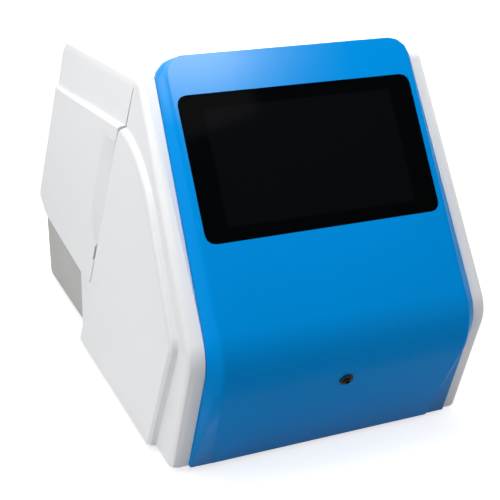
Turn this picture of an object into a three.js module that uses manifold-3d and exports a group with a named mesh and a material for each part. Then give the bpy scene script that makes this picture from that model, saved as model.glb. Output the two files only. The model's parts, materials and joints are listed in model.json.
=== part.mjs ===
// Compact semi-automatic clinical chemistry analyzer.
// A white moulded front housing carries a curved blue fascia with a touch display and the
// sample port. Behind a slanted seam a white cover lifts on two rear hinges and uncovers the
// filter photometer and the peristaltic pump, which stand on a deck over a folded steel chassis.
// Millimetres, +Z up, the front looks along -Y. Places are measured from the middle of the
// fascia's bottom front edge; at the end the whole analyzer is moved so that the origin lies
// on the table, under the middle of its footprint.
import * as THREE from 'three';
import { mergeVertices } from 'three/addons/utils/BufferGeometryUtils.js';
import Module from 'manifold-3d';

const wasm = await Module();
wasm.setup();

// Clearances and cuts
const GAP = 0.3;
const RUNNING_GAP = 0.25;
const OVERRUN = 20;

// Casing, seen from the side. Leans are angles from the vertical.
const HALF_WIDTH = 108.2;
const SIDE_DRAFT = 1.5;
const WALL = 3;
const EDGE_ROUND = 5;
const FRONT_SETBACK = 3.3;
const FRONT_LOW_LEAN = 20.5;
const FRONT_NOSE_RADIUS = 25;
const CREST_HEIGHT = 243.6;
const CREST_RADIUS = 6;
const TOP_FALL = 2.7;
const SEAM_SETBACK = 4.64;
const SEAM_LEAN = 30.5;
const SEAM_GAP = 1.3;
const SKIRT_REAR = 223;
const SKIRT_HEIGHT = 84;

// Raised side panels
const PANEL_STEP = 5.2;
const PANEL_BEVEL = 4;
const PANEL_FOOT = 35;
const PANEL_LOW_LEAN = 26.5;
const PANEL_KNEE_HEIGHT = 94;
const PANEL_KNEE_RADIUS = 14;
const PANEL_HIGH_LEAN = 30;
const PANEL_SHOULDER_RADIUS = 75;
const LEDGE_DROP = 30.4;
const LEDGE_FALL = 3.6;

// Fascia
const FACE_LOW_LEAN = 26.5;
const FACE_HIGH_LEAN = 32;
const KNEE_HEIGHT = 85.7;
const NOSE_RADIUS = 45;
const WINDOW_RISE = 127.8;
const WINDOW_WIDTH = 165;
const WINDOW_HEIGHT = 95.5;
const WINDOW_CORNER = 6.5;
const HEAD_MARGIN = 26.2;
const CREASE_HALF_WIDTH = 86.5;
const CREASE_FOOT_HALF_WIDTH = 81;
const CREASE_RADIUS = 4;
const FLANK_WALL = 2;
const FASCIA_HALF_WIDTH = 96.2;
const FASCIA_CORNER = 12;
const FASCIA_WALL = 2.5;
const FASCIA_SINK = 4;
const FACE_PROUD = 8;
const BACKED_HEAD = 17;
const FASCIA_BOSS_RADIUS = 3.5;
const FASCIA_BOSS_BORE = 1.3;

// Display
const GLASS_RECESS = 1.2;
const GLASS_THICKNESS = 1.8;
const GLASS_LAP = 3;
const LCD_MARGIN = 1.5;
const LCD_THICKNESS = 5.5;
const FRAME_THICKNESS = 1.5;
const FRAME_BAND = 9;
const STANDOFF_RADIUS = 2.5;
const STANDOFF_BORE = 1.2;
const STANDOFF_LENGTH = 6.5;
const DRIVER_WIDTH = 124;
const DRIVER_HEIGHT = 68;
const BOARD_THICKNESS = 1.6;

// Sample port
const PORT_RISE = 67.3;
const GROMMET_FLANGE_RADIUS = 4.8;
const GROMMET_FLANGE_HEIGHT = 1.2;
const GROMMET_NECK_RADIUS = 3.8;
const FERRULE_FLANGE_RADIUS = 3.1;
const FERRULE_RADIUS = 2.3;
const FERRULE_BORE = 1.5;
const FERRULE_LENGTH = 16;
const FERRULE_HEAD = 0.8;
const SAMPLE_TUBE_RADIUS = 1.6;

// Chassis
const SHEET = 2;
const CHASSIS_HALF_WIDTH = 101.2;
const CHASSIS_FRONT = 26;
const CHASSIS_REAR = 361;
const CHASSIS_CHEEK = 38;
const CHASSIS_BROW = 62;
const CHASSIS_RAMP = 44;
const DECK_HEIGHT = 86;
const FLANGE = 12;
const REAR_PANEL_HEIGHT = 79;
const SLOT_COUNT = 7;
const SLOT_LENGTH = 34;
const SLOT_WIDTH = 3;
const SLOT_PITCH = 9;
const FOOT_DROP = 4;
const FOOT_RADIUS = 9;
const FOOT_TAPER = 1.5;
const FOOT_PLUG_RADIUS = 3;
const FOOT_PLUG_LIP = 1.2;
const FOOT_X = 80;
const FOOT_INSET = 26;
const SEAT_PAD_LENGTH = 16;
const SEAT_PAD_HEIGHT = 22;
const SEAT_PAD_BASE = 8;

// Deck
const DECK_FRONT = 96;
const DECK_INSET = 2.5;
const DECK_CORNER = 6;
const DRAIN_HOLE_RADIUS = 4.8;

// Rear cover
const COVER_LIP = 64;
const COVER_LIP_RISE = 4.9;
const COVER_LIP_BEND = 318;
const COVER_LIP_END = 346;
const COVER_REAR_LEAN = 34;
const COVER_TOP_RADIUS = 14;
const COVER_CHIN_RADIUS = 12;
const COVER_SIDE_ROUND = 8;
const COVER_LEDGE_ROUND = 1.5;
const COVER_FADE = 24;
const COVER_RIB_X = 58;
const COVER_RIB_DEPTH = 7;
const COVER_RIB_THICKNESS = 2.5;
const SCOOP_WIDTH = 28;
const SCOOP_DEPTH = 9;
const SCOOP_TOP = 193.5;
const SCOOP_FLOOR = 128;
const SCOOP_TOE = 101;
const SCOOP_HEEL = 123;
const NOTCH_WIDTH = 3;
const NOTCH_TOP = 101;
const NOTCH_FLOOR = 87;

// Cover hinges
const HINGE_INSET = 46.2;
const HINGE_LENGTH = 40;
const HINGE_LEAF = 1.5;
const HINGE_RADIUS = 3.4;
const HINGE_PIN_RADIUS = 1.5;
const HINGE_HEIGHT = 84;
const HINGE_LEAF_REACH = 12.5;
const KNUCKLE_COUNT = 5;

// Rear panel fittings
const FAN_SIZE = 60;
const FAN_DEPTH = 15;
const FAN_BORE = 28;
const FAN_X = 50;
const FAN_HEIGHT = 37;
const FAN_HUB_RADIUS = 11;
const FAN_HUB_DEPTH = 9;
const FAN_BLADES = 7;
const FAN_BLADE_THICKNESS = 1.4;
const FAN_BLADE_PITCH = 38;
const FAN_BLADE_DEPTH = 8;
const FAN_TIP_GAP = 1;
const FAN_HOLE_RADIUS = 2.1;
const FAN_HOLE_INSET = 5;
const FAN_SHAFT_RADIUS = 1.5;
const FAN_MOTOR_DEPTH = 3;
const FAN_STRUT_WIDTH = 3;
const GUARD_WIRE = 2;
const GUARD_RINGS = 2;
const INLET_X = -66;
const INLET_HEIGHT = 37;
const INLET_FLANGE_WIDTH = 50;
const INLET_FLANGE_HEIGHT = 29;
const INLET_FLANGE_THICKNESS = 2.2;
const INLET_FLANGE_CORNER = 9.5;
const INLET_BODY_WIDTH = 29;
const INLET_BODY_HEIGHT = 22;
const INLET_BODY_DEPTH = 21;
const INLET_SOCKET_WIDTH = 24.5;
const INLET_SOCKET_HEIGHT = 17;
const INLET_SOCKET_DEPTH = 16;
const INLET_PIN_LENGTH = 10;
const INLET_PIN_THICKNESS = 2;
const INLET_PIN_WIDTH = 4;
const INLET_PIN_SPREAD = 7;
const INLET_PIN_RISE = 2;
const SWITCH_X = -22;
const SWITCH_WIDTH = 15;
const SWITCH_TALL = 21;
const SWITCH_BEZEL = 2;
const SWITCH_RIM = 2;
const SWITCH_BODY_DEPTH = 18;
const ROCKER_TILT = 9;
const ROCKER_DEPTH = 8;
const ROCKER_PROUD = 2.6;
const USB_X = 2;
const USB_WIDTH = 15;
const USB_TALL = 16;
const USB_DEPTH = 18;
const USB_FLANGE = 1.2;
const USB_SLOT_WIDTH = 12.6;
const USB_SLOT_HEIGHT = 5.2;
const USB_SLOT_DEPTH = 11;
const USB_SLOT_PITCH = 7.6;
const USB_TONGUE = 1.8;
const WASTE_X = 90;
const DRAIN_X = 78;
const WASTE_HEIGHT = 24;
const WASTE_NUT_RADIUS = 6.5;
const WASTE_NUT_DEPTH = 5;
const WASTE_STEM_RADIUS = 4;
const WASTE_STEM_DEPTH = 8;
const WASTE_BARB_RADIUS = 2.6;
const WASTE_BARB_LENGTH = 11;
const WASTE_BORE = 1.2;

// Photometer
const OPTICS_Y = 215;
const AXIS_RISE = 30;
const LAMP_X = -68;
const LAMP_HOUSE_LENGTH = 40;
const LAMP_HOUSE_WIDTH = 42;
const LAMP_HOUSE_HEIGHT = 52;
const LAMP_WELL_RADIUS = 12;
const LAMP_PORT_RADIUS = 6;
const LAMP_FINS = 6;
const LAMP_FIN_DEPTH = 4;
const LAMP_FIN_GAP = 3.2;
const LAMP_FLOOR = 5;
const BULB_RADIUS = 5.5;
const BULB_BASE_RADIUS = 8;
const BULB_BASE_HEIGHT = 12;
const BULB_HEIGHT = 20;
const LENS_X = -37;
const LENS_BARREL_LENGTH = 18;
const LENS_BARREL_RADIUS = 9.5;
const LENS_RADIUS = 7.2;
const LENS_EDGE = 2;
const LENS_BULGE = 1.6;
const LENS_SHOULDER = 1.2;
const LENS_FOOT_WIDTH = 24;
const WHEEL_X = -16;
const WHEEL_RADIUS = 36;
const WHEEL_THICKNESS = 6;
const FILTER_COUNT = 8;
const FILTER_CIRCLE = 25;
const FILTER_RADIUS = 6.2;
const FILTER_THICKNESS = 4.2;
const FILTER_SEAT = 1.2;
const WHEEL_HUB_RADIUS = 7;
const WHEEL_HUB_LENGTH = 3;
const WHEEL_NOTCH_RADIUS = 1.5;
const SHAFT_RADIUS = 2.5;
const BRACKET_X = -9.5;
const BRACKET_THICKNESS = 3;
const BRACKET_WIDTH = 62;
const BRACKET_HEIGHT = 84;
const BRACKET_FOOT = 14;
const BEAM_RADIUS = 4;
const MOTOR_SIZE = 35;
const MOTOR_LENGTH = 19;
const MOTOR_PILOT_RADIUS = 11;
const MOTOR_CHAMFER = 4;
const MOTOR_CAP = 4;
const CELL_BLOCK_LENGTH = 38;
const CELL_BLOCK_WIDTH = 36;
const CELL_BLOCK_HEIGHT = 35;
const CELL_BLOCK_STEP = 5;
const CELL_SIZE = 11;
const CELL_HEIGHT = 42;
const CELL_BEHIND = 12;
const CELL_CAP = 4;
const CELL_NIPPLE_RADIUS = 1.6;
const CELL_NIPPLE_HEIGHT = 5;
const CELL_NIPPLE_SPREAD = 3;
const DETECTOR_WIDTH = 34;
const DETECTOR_HEIGHT = 38;
const DETECTOR_CAN_RADIUS = 4;
const DETECTOR_CAN_LENGTH = 3;

// Peristaltic pump
const PUMP_X = 55;
const PUMP_Y = 146;
const TRACK_RADIUS = 27;
const TRACK_WALL = 5;
const TRACK_HEIGHT = 17;
const TRACK_BASE = 3;
const TRACK_OPENING = 110;
const PUMP_TUBE_RADIUS = 1.6;
const ROLLER_COUNT = 3;
const ROLLER_RADIUS = 5;
const ROLLER_HEIGHT = 9;
const ROLLER_PIN_RADIUS = 1.5;
const ROTOR_DISC = 2.2;
const ROTOR_HUB_RADIUS = 6;
const ROTOR_REACH = 2.5;
const PUMP_MOTOR_SIZE = 42;
const PUMP_MOTOR_LENGTH = 34;
const PUMP_MOTOR_CHAMFER = 5;
const PUMP_MOTOR_PILOT = 11;

// Electronics
const MAIN_BOARD_X = 24;
const MAIN_BOARD_Y = 152;
const MAIN_BOARD_WIDTH = 130;
const MAIN_BOARD_LENGTH = 120;
const MAIN_BOARD_RISE = 9;
const POST_RADIUS = 3.2;
const POST_INSET = 6;
const CHIP_SIDE = 18;
const CHIP_HEIGHT = 2.4;
const SOCKET_WIDTH = 6;
const SOCKET_HEIGHT = 8;
const HEAT_SINK_HEIGHT = 16;
const SUPPLY_X = -66;
const SUPPLY_Y = 280;
const SUPPLY_WIDTH = 56;
const SUPPLY_LENGTH = 96;
const SUPPLY_HEIGHT = 34;
const SUPPLY_SLOTS = 8;
const CABLE_INSET = 21;
const CABLE_WIDTH = 24;
const CABLE_THICKNESS = 1;
const LEAD_RADIUS = 2.4;
const LEAD_BOOT = 5;
const LEAD_SAG = 4;

// Facets
const NOSE_STEPS = 6;
const ARC_STEPS = 3;
const FINE_STEPS = 2;
const ROUND_SIDES = 20;
const MEDIUM_SIDES = 12;
const SMALL_SIDES = 8;
const TUBE_SIDES = 8;
const TUBE_STEPS = 26;
const TUBE_RING_POINTS = 12;
const TUBE_REACH_SHARE = 0.8;
const CABLE_STEPS = 24;
const LEAD_STEPS = 10;

const { degToRad } = THREE.MathUtils;
const slope = (lean) => Math.tan(degToRad(lean));

// A closed mesh becomes a solid that can be joined and cut.
function toSolid(geometry) {
  const bare = geometry.clone();
  bare.deleteAttribute('normal');
  bare.deleteAttribute('uv');
  const merged = mergeVertices(bare);
  const index = merged.index.array;
  const kept = [];
  for (let i = 0; i < index.length; i += 3) {
    const [a, b, c] = [index[i], index[i + 1], index[i + 2]];
    if (a !== b && b !== c && c !== a) kept.push(a, b, c);
  }
  const vertProperties = new Float32Array(merged.attributes.position.array);
  return new wasm.Manifold(new wasm.Mesh({ numProp: 3, vertProperties, triVerts: new Uint32Array(kept) }));
}

function toGeometry(solid) {
  const mesh = solid.getMesh();
  const geometry = new THREE.BufferGeometry();
  geometry.setAttribute('position', new THREE.BufferAttribute(new Float32Array(mesh.vertProperties), 3));
  geometry.setIndex(new THREE.BufferAttribute(new Uint32Array(mesh.triVerts), 1));
  geometry.computeVertexNormals();
  return geometry;
}

function join(...pieces) {
  return toGeometry(pieces.map(toSolid).reduce((whole, piece) => whole.add(piece)));
}

function cut(body, ...tools) {
  return toGeometry(tools.map(toSolid).reduce((whole, tool) => whole.subtract(tool), toSolid(body)));
}

function common(first, second) {
  return toGeometry(toSolid(first).intersect(toSolid(second)));
}

// Rounds the corners of a closed outline. Each corner is [across, up, radius].
function rounded(corners, steps = ARC_STEPS) {
  const points = [];
  const count = corners.length;
  corners.forEach(([across, up, radius = 0], index) => {
    const here = new THREE.Vector2(across, up);
    if (radius === 0) {
      points.push(here);
      return;
    }
    const before = new THREE.Vector2(...corners[(index + count - 1) % count]).sub(here).normalize();
    const after = new THREE.Vector2(...corners[(index + 1) % count]).sub(here).normalize();
    const half = Math.acos(before.dot(after)) / 2;
    const centre = before.clone().add(after).setLength(radius / Math.sin(half)).add(here);
    const start = before.setLength(radius / Math.tan(half)).add(here).sub(centre).angle();
    const end = after.setLength(radius / Math.tan(half)).add(here).sub(centre).angle();
    const sweep = THREE.MathUtils.euclideanModulo(end - start + Math.PI, 2 * Math.PI) - Math.PI;
    for (let step = 0; step <= steps; step += 1) {
      const angle = start + (sweep * step) / steps;
      points.push(new THREE.Vector2(Math.cos(angle), Math.sin(angle)).multiplyScalar(radius).add(centre));
    }
  });
  return points;
}

// Moves each side of an outline inwards by its own distance; a negative one moves it outwards.
function inset(corners, distances) {
  const count = corners.length;
  const at = (index) => new THREE.Vector2(...corners[(index + count) % count]);
  const area = corners.reduce((sum, corner, index) => sum + at(index).cross(at(index + 1)), 0);
  const turn = Math.sign(area);
  const side = (index) => {
    const along = at(index + 1).sub(at(index)).normalize();
    const inwards = new THREE.Vector2(-along.y, along.x).multiplyScalar(turn);
    const move = distances[(index + count) % count];
    return { from: at(index).addScaledVector(inwards, move), along };
  };
  return corners.map(([, , radius = 0], index) => {
    const [first, second] = [side(index - 1), side(index)];
    const bend = first.along.cross(second.along);
    const reach = second.from.clone().sub(first.from).cross(second.along) / bend;
    const point = first.from.addScaledVector(first.along, reach);
    const move = Math.max(distances[index], distances[(index + count - 1) % count]);
    const change = bend * turn > 0 ? -move : move;
    return [point.x, point.y, radius === 0 ? 0 : Math.max(radius + change, 0)];
  });
}

// Where a ray meets a chain of points.
function meet(origin, direction, chain) {
  for (let index = 0; index + 1 < chain.length; index += 1) {
    const along = chain[index + 1].clone().sub(chain[index]);
    const offset = chain[index].clone().sub(origin);
    const bend = direction.cross(along);
    const reach = offset.cross(along) / bend;
    const share = offset.cross(direction) / bend;
    if (share >= 0 && share <= 1 && reach > 0) return reach;
  }
  return 0;
}

function extruded(points, depth) {
  return new THREE.ExtrudeGeometry(new THREE.Shape(points), { depth, bevelEnabled: false });
}

// A plate from an outline of (x, y) points, from one height up to another.
function alongZ(points, low, high) {
  return extruded(points, high - low).translate(0, 0, low);
}

// A plate from an outline of (x, z) points, from one depth back to another.
function alongY(points, front, rear) {
  return extruded(points, rear - front).rotateX(Math.PI / 2).translate(0, rear, 0);
}

// A plate from an outline of (y, z) points, from one width across to another.
function alongX(points, left, right) {
  return toYZ(extruded(points, right - left)).translate(left, 0, 0);
}

function toYZ(geometry) {
  const turn = new THREE.Matrix4().makeBasis(
    new THREE.Vector3(0, 1, 0),
    new THREE.Vector3(0, 0, 1),
    new THREE.Vector3(1, 0, 0),
  );
  return geometry.applyMatrix4(turn);
}

// A body across the analyzer from a (y, z) outline, its side edges eased by a round or bevel.
function acrossX(points, halfWidth, reach, depth, steps) {
  const geometry = new THREE.ExtrudeGeometry(new THREE.Shape(points), {
    depth: 2 * (halfWidth - depth),
    bevelEnabled: depth > 0,
    bevelSize: reach,
    bevelOffset: -reach,
    bevelThickness: depth,
    bevelSegments: steps,
  });
  return toYZ(geometry).translate(depth - halfWidth, 0, 0);
}

function block(width, depth, height) {
  return new THREE.BoxGeometry(width, depth, height);
}

// A box between two corners.
function span(left, right, front, rear, low, high) {
  const box = block(right - left, rear - front, high - low);
  return box.translate((left + right) / 2, (front + rear) / 2, (low + high) / 2);
}

// Round bars that start at the origin and run along an axis.
function barZ(radius, length, sides = ROUND_SIDES, endRadius = radius) {
  const bar = new THREE.CylinderGeometry(endRadius, radius, length, sides);
  return bar.rotateX(Math.PI / 2).translate(0, 0, length / 2);
}

function barY(radius, length, sides = ROUND_SIDES, endRadius = radius) {
  return barZ(radius, length, sides, endRadius).rotateX(-Math.PI / 2);
}

function barX(radius, length, sides = ROUND_SIDES, endRadius = radius) {
  return barZ(radius, length, sides, endRadius).rotateY(Math.PI / 2);
}

function rectangle(width, height, corner = 0, acrossMiddle = 0, upMiddle = 0, steps = ARC_STEPS) {
  const [left, right] = [acrossMiddle - width / 2, acrossMiddle + width / 2];
  const [low, high] = [upMiddle - height / 2, upMiddle + height / 2];
  const corners = [[left, low, corner], [right, low, corner], [right, high, corner], [left, high, corner]];
  return rounded(corners, steps);
}

function circle(radius, sides, acrossMiddle = 0, upMiddle = 0) {
  return Array.from({ length: sides }, (_, index) => {
    const angle = (2 * Math.PI * index) / sides;
    return new THREE.Vector2(acrossMiddle + radius * Math.cos(angle), upMiddle + radius * Math.sin(angle));
  });
}

// A round piece turned about +Z from [radius, height] pairs that start and end on the axis.
function turned(profile, sides = ROUND_SIDES) {
  const points = profile.map(([radius, height]) => new THREE.Vector2(radius, height));
  return new THREE.LatheGeometry(points, sides).rotateX(Math.PI / 2);
}

// A skin over a row of like rings, closed at both ends. The rings are convex.
function loft(rings) {
  const count = rings[0].length;
  const positions = rings.flat().flatMap((point) => point.toArray());
  const index = [];
  for (let ring = 0; ring + 1 < rings.length; ring += 1) {
    for (let corner = 0; corner < count; corner += 1) {
      const [a, b] = [ring * count + corner, ring * count + ((corner + 1) % count)];
      index.push(a, b, b + count, a, b + count, a + count);
    }
  }
  const last = (rings.length - 1) * count;
  for (let corner = 1; corner + 1 < count; corner += 1) {
    index.push(0, corner + 1, corner, last, last + corner, last + corner + 1);
  }
  const geometry = new THREE.BufferGeometry();
  geometry.setAttribute('position', new THREE.Float32BufferAttribute(positions, 3));
  geometry.setIndex(volume(rings, index) < 0 ? index.slice().reverse() : index);
  return geometry;
}

function volume(rings, index) {
  const points = rings.flat();
  let sum = 0;
  for (let i = 0; i < index.length; i += 3) {
    const [a, b, c] = [points[index[i]], points[index[i + 1]], points[index[i + 2]]];
    sum += a.dot(b.clone().cross(c));
  }
  return sum;
}

// A flexible tube along points, round in section.
function tube(points, radius, steps) {
  const path = new THREE.CatmullRomCurve3(points, false, 'centripetal');
  const section = new THREE.Shape(circle(radius, TUBE_SIDES));
  return new THREE.ExtrudeGeometry(section, { steps, extrudePath: path, bevelEnabled: false });
}

// The side walls of the casing lean in with height.
const narrowing = (height) => 1 - (slope(SIDE_DRAFT) * height) / HALF_WIDTH;

function drafted(geometry) {
  const position = geometry.attributes.position;
  for (let index = 0; index < position.count; index += 1) {
    position.setX(index, position.getX(index) * narrowing(position.getZ(index)));
  }
  geometry.computeVertexNormals();
  return geometry;
}

// Materials
function finish(name, color, roughness, metalness = 0) {
  const material = new THREE.MeshStandardMaterial({ color, roughness, metalness });
  material.name = name;
  return material;
}

const FINISH = {
  white: finish('white_plastic', 0xeef0f0, 0.42),
  blue: finish('blue_plastic', 0x0078d2, 0.28),
  glass: finish('display_glass', 0x06070a, 0.08),
  sheet: finish('painted_sheet', 0xaeb0ac, 0.5, 0.2),
  steel: finish('steel', 0xb9bcc0, 0.32, 0.9),
  rubber: finish('rubber', 0x17181a, 0.8),
  black: finish('black_plastic', 0x1b1c1f, 0.5),
  aluminium: finish('aluminium', 0xc4c7ca, 0.38, 0.85),
  optical: finish('optical_glass', 0xbcd4dd, 0.05),
  board: finish('circuit_board', 0x1d5c3a, 0.55),
  silicone: finish('silicone', 0xd9dcd8, 0.45),
  nylon: finish('nylon', 0xd7d8d2, 0.5),
};

const analyzer = new THREE.Group();
const body = new THREE.Group();
analyzer.add(body);

function add(name, geometry, material, group = body) {
  const mesh = new THREE.Mesh(geometry, material);
  mesh.name = name;
  group.add(mesh);
  return mesh;
}

// Side view of the casing
const point = (y, z) => new THREE.Vector2(y, z);
const faceKnee = point(-KNEE_HEIGHT * slope(FACE_LOW_LEAN), KNEE_HEIGHT);
const faceUp = point(Math.sin(degToRad(FACE_HIGH_LEAN)), Math.cos(degToRad(FACE_HIGH_LEAN)));
const faceOut = point(-faceUp.y, faceUp.x);
const lowUp = point(-Math.sin(degToRad(FACE_LOW_LEAN)), Math.cos(degToRad(FACE_LOW_LEAN)));
const lowOut = point(-lowUp.y, lowUp.x);
const windowMiddle = faceKnee.clone().addScaledVector(faceUp, WINDOW_RISE);
const faceLength = WINDOW_RISE + WINDOW_HEIGHT / 2 + HEAD_MARGIN;

// The white front: a low plane that leans forward and a high one parallel to the display.
const highStart = faceKnee.clone().addScaledVector(faceOut, -FACE_PROUD);
const lowLean = slope(FRONT_LOW_LEAN);
const highLean = slope(FACE_HIGH_LEAN);
const frontKneeHeight = (FRONT_SETBACK - highStart.x + highLean * highStart.y) / (lowLean + highLean);
const frontKnee = point(FRONT_SETBACK - lowLean * frontKneeHeight, frontKneeHeight);
const frontAt = (height) => frontKnee.x + highLean * (height - frontKnee.y);
const crest = point(frontAt(CREST_HEIGHT), CREST_HEIGHT);
const topAt = (y) => CREST_HEIGHT - (y - crest.x) * slope(TOP_FALL);
const seamFoot = crest.x + SEAM_SETBACK + CREST_HEIGHT * slope(SEAM_LEAN);
const seamAt = (height) => seamFoot - height * slope(SEAM_LEAN);
const ledgeAt = (y) => CREST_HEIGHT - LEDGE_DROP - y * slope(LEDGE_FALL);

const casingCorners = [
  [FRONT_SETBACK + lowLean * OVERRUN, -OVERRUN],
  [frontKnee.x, frontKnee.y, FRONT_NOSE_RADIUS],
  [crest.x, crest.y, CREST_RADIUS],
  [CHASSIS_REAR, topAt(CHASSIS_REAR)],
  [CHASSIS_REAR, -OVERRUN],
];

// Everything behind the seam, down to a given height.
function behindSeam(floor, shift) {
  const high = CREST_HEIGHT + 2 * OVERRUN;
  return [
    point(seamAt(floor) + shift, floor),
    point(CHASSIS_REAR + 2 * OVERRUN, floor),
    point(CHASSIS_REAR + 2 * OVERRUN, high),
    point(seamAt(high) + shift, high),
  ];
}

// Fascia: stations follow the face from its foot, round the nose, to the head.
const noseTurn = degToRad(FACE_LOW_LEAN + FACE_HIGH_LEAN);
const noseReach = NOSE_RADIUS * Math.tan(noseTurn / 2);
const footLength = faceKnee.length() - noseReach;
const noseLength = NOSE_RADIUS * noseTurn;
const headPosition = footLength + noseLength + faceLength - noseReach;
const noseCentre = lowUp.clone().multiplyScalar(footLength).addScaledVector(lowOut, -NOSE_RADIUS);

function faceAt(position) {
  if (position <= footLength) {
    return { at: lowUp.clone().multiplyScalar(position), inwards: lowOut.clone().negate() };
  }
  if (position >= footLength + noseLength) {
    const along = position - footLength - noseLength + noseReach;
    return { at: faceKnee.clone().addScaledVector(faceUp, along), inwards: faceOut.clone().negate() };
  }
  const angle = (position - footLength) / NOSE_RADIUS - degToRad(FACE_LOW_LEAN);
  const outwards = point(-Math.cos(angle), Math.sin(angle));
  return { at: noseCentre.clone().addScaledVector(outwards, NOSE_RADIUS), inwards: outwards.negate() };
}

const frontChain = rounded([
  [FRONT_SETBACK + lowLean * OVERRUN, -OVERRUN],
  [frontKnee.x, frontKnee.y, FRONT_NOSE_RADIUS],
  [frontAt(CREST_HEIGHT + 2 * OVERRUN), CREST_HEIGHT + 2 * OVERRUN],
  [CHASSIS_REAR, -OVERRUN],
], NOSE_STEPS).slice(0, -1);

// One section through the fascia: face, creases, flanks and the edge that is sunk in the front.
function fasciaRing(position, shrink, back, narrow) {
  const { at, inwards } = faceAt(position);
  const proud = meet(at, inwards, frontChain);
  const edgeHeight = at.y + inwards.y * proud;
  const edge = FASCIA_HALF_WIDTH * narrowing(edgeHeight) - narrow;
  const spread = Math.max(1 - position / footLength, 0);
  const creaseHalf = THREE.MathUtils.lerp(CREASE_HALF_WIDTH, CREASE_FOOT_HALF_WIDTH, spread);
  const crease = Math.min(creaseHalf - narrow, edge - shrink);
  const flank = Math.max(proud - FLANK_WALL, GAP);
  const rear = proud + FASCIA_SINK;
  const corners = [
    [-edge, rear], [-edge, flank], [-crease, 0, CREASE_RADIUS],
    [crease, 0, CREASE_RADIUS], [edge, flank], [edge, rear],
  ];
  const moved = inset(corners, [shrink, shrink, shrink, shrink, shrink, back]);
  return rounded(moved.map(([x, y, radius]) => [x, y, radius && CREASE_RADIUS]), FINE_STEPS)
    .map(({ x, y }) => new THREE.Vector3(x, at.x + inwards.x * y, at.y + inwards.y * y));
}

function fasciaBody(shrink, backBelow, backAbove) {
  const corner = FASCIA_CORNER - shrink;
  const head = headPosition - shrink;
  const rings = [fasciaRing(-OVERRUN / 2, shrink, backBelow, 0)];
  for (let step = 0; step <= NOSE_STEPS; step += 1) {
    rings.push(fasciaRing(footLength + (noseLength * step) / NOSE_STEPS, shrink, backBelow, 0));
  }
  if (backAbove !== backBelow) {
    rings.push(fasciaRing(headPosition - BACKED_HEAD - FASCIA_WALL, shrink, backBelow, 0));
    rings.push(fasciaRing(headPosition - BACKED_HEAD, shrink, backAbove, 0));
  }
  for (let step = 0; step <= ARC_STEPS; step += 1) {
    const angle = (Math.PI / 2) * (step / ARC_STEPS);
    const position = head - corner * (1 - Math.sin(angle));
    rings.push(fasciaRing(position, shrink, backAbove, corner * (1 - Math.cos(angle))));
  }
  const width = 2 * HALF_WIDTH;
  return cut(loft(rings), span(-width, width, -width, width, -2 * OVERRUN, shrink));
}

// A group whose +Z leaves the display and whose +Y climbs the face.
function onFace(origin, outwards) {
  const group = new THREE.Group();
  group.position.set(0, origin.x, origin.y);
  group.rotation.x = Math.PI / 2 - Math.atan2(outwards.y, -outwards.x);
  body.add(group);
  return group;
}

// The same placing for the tools that cut the casing.
function placedOnFace(geometry, origin, outwards) {
  return geometry.rotateX(Math.PI / 2 - Math.atan2(outwards.y, -outwards.x)).translate(0, origin.x, origin.y);
}

const portMiddle = lowUp.clone().multiplyScalar(PORT_RISE);
const floorDepth = FACE_PROUD + FASCIA_SINK + GAP;

function makeFascia() {
  const window = alongZ(rectangle(WINDOW_WIDTH, WINDOW_HEIGHT, WINDOW_CORNER), -OVERRUN, OVERRUN);
  const rebate = alongZ(
    rectangle(WINDOW_WIDTH + 2 * (GLASS_LAP + GAP), WINDOW_HEIGHT + 2 * (GLASS_LAP + GAP), WINDOW_CORNER),
    -OVERRUN,
    -GLASS_RECESS + GAP,
  );
  const portHole = barZ(GROMMET_NECK_RADIUS + GAP, 2 * OVERRUN, SMALL_SIDES).translate(0, 0, -OVERRUN);
  const shell = cut(fasciaBody(0, 0, 0), fasciaBody(FASCIA_WALL, -OVERRUN / 2, FASCIA_WALL));
  const bosses = [];
  const bores = [];
  const bossX = CREASE_HALF_WIDTH - 2 * FASCIA_BOSS_RADIUS;
  const bossRises = [-WINDOW_HEIGHT / 2 - 3 * FASCIA_BOSS_RADIUS, WINDOW_HEIGHT / 2 + 2 * FASCIA_BOSS_RADIUS];
  for (const rise of bossRises) {
    for (const side of [-1, 1]) {
      const boss = barZ(FASCIA_BOSS_RADIUS, FACE_PROUD + FASCIA_SINK - FASCIA_WALL / 2, SMALL_SIDES);
      bosses.push(placedOnFace(
        boss.translate(side * bossX, rise, -FACE_PROUD - FASCIA_SINK), windowMiddle, faceOut,
      ));
      const bore = barZ(FASCIA_BOSS_BORE, FACE_PROUD, SMALL_SIDES);
      bores.push(placedOnFace(
        bore.translate(side * bossX, rise, -FACE_PROUD - FASCIA_SINK - GAP), windowMiddle, faceOut,
      ));
    }
  }
  return cut(
    join(shell, ...bosses),
    ...bores,
    placedOnFace(window, windowMiddle, faceOut),
    placedOnFace(rebate, windowMiddle, faceOut),
    placedOnFace(portHole, portMiddle, lowOut),
  );
}

// Raised panel on one side: a bevelled triangle whose rear edge is the seam.
const panelKnee = PANEL_FOOT - PANEL_KNEE_HEIGHT * slope(PANEL_LOW_LEAN);
const shoulderHeight = ledgeAt(panelKnee - PANEL_KNEE_HEIGHT * slope(PANEL_HIGH_LEAN))
  / (1 + slope(PANEL_HIGH_LEAN) * slope(LEDGE_FALL));
const shoulderY = panelKnee + (shoulderHeight - PANEL_KNEE_HEIGHT) * slope(PANEL_HIGH_LEAN);
const panelCorners = [
  [PANEL_FOOT + OVERRUN * slope(PANEL_LOW_LEAN), -OVERRUN],
  [panelKnee, PANEL_KNEE_HEIGHT, PANEL_KNEE_RADIUS],
  [shoulderY, shoulderHeight, PANEL_SHOULDER_RADIUS],
  [CHASSIS_REAR, ledgeAt(CHASSIS_REAR)],
  [CHASSIS_REAR, -OVERRUN],
];

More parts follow.
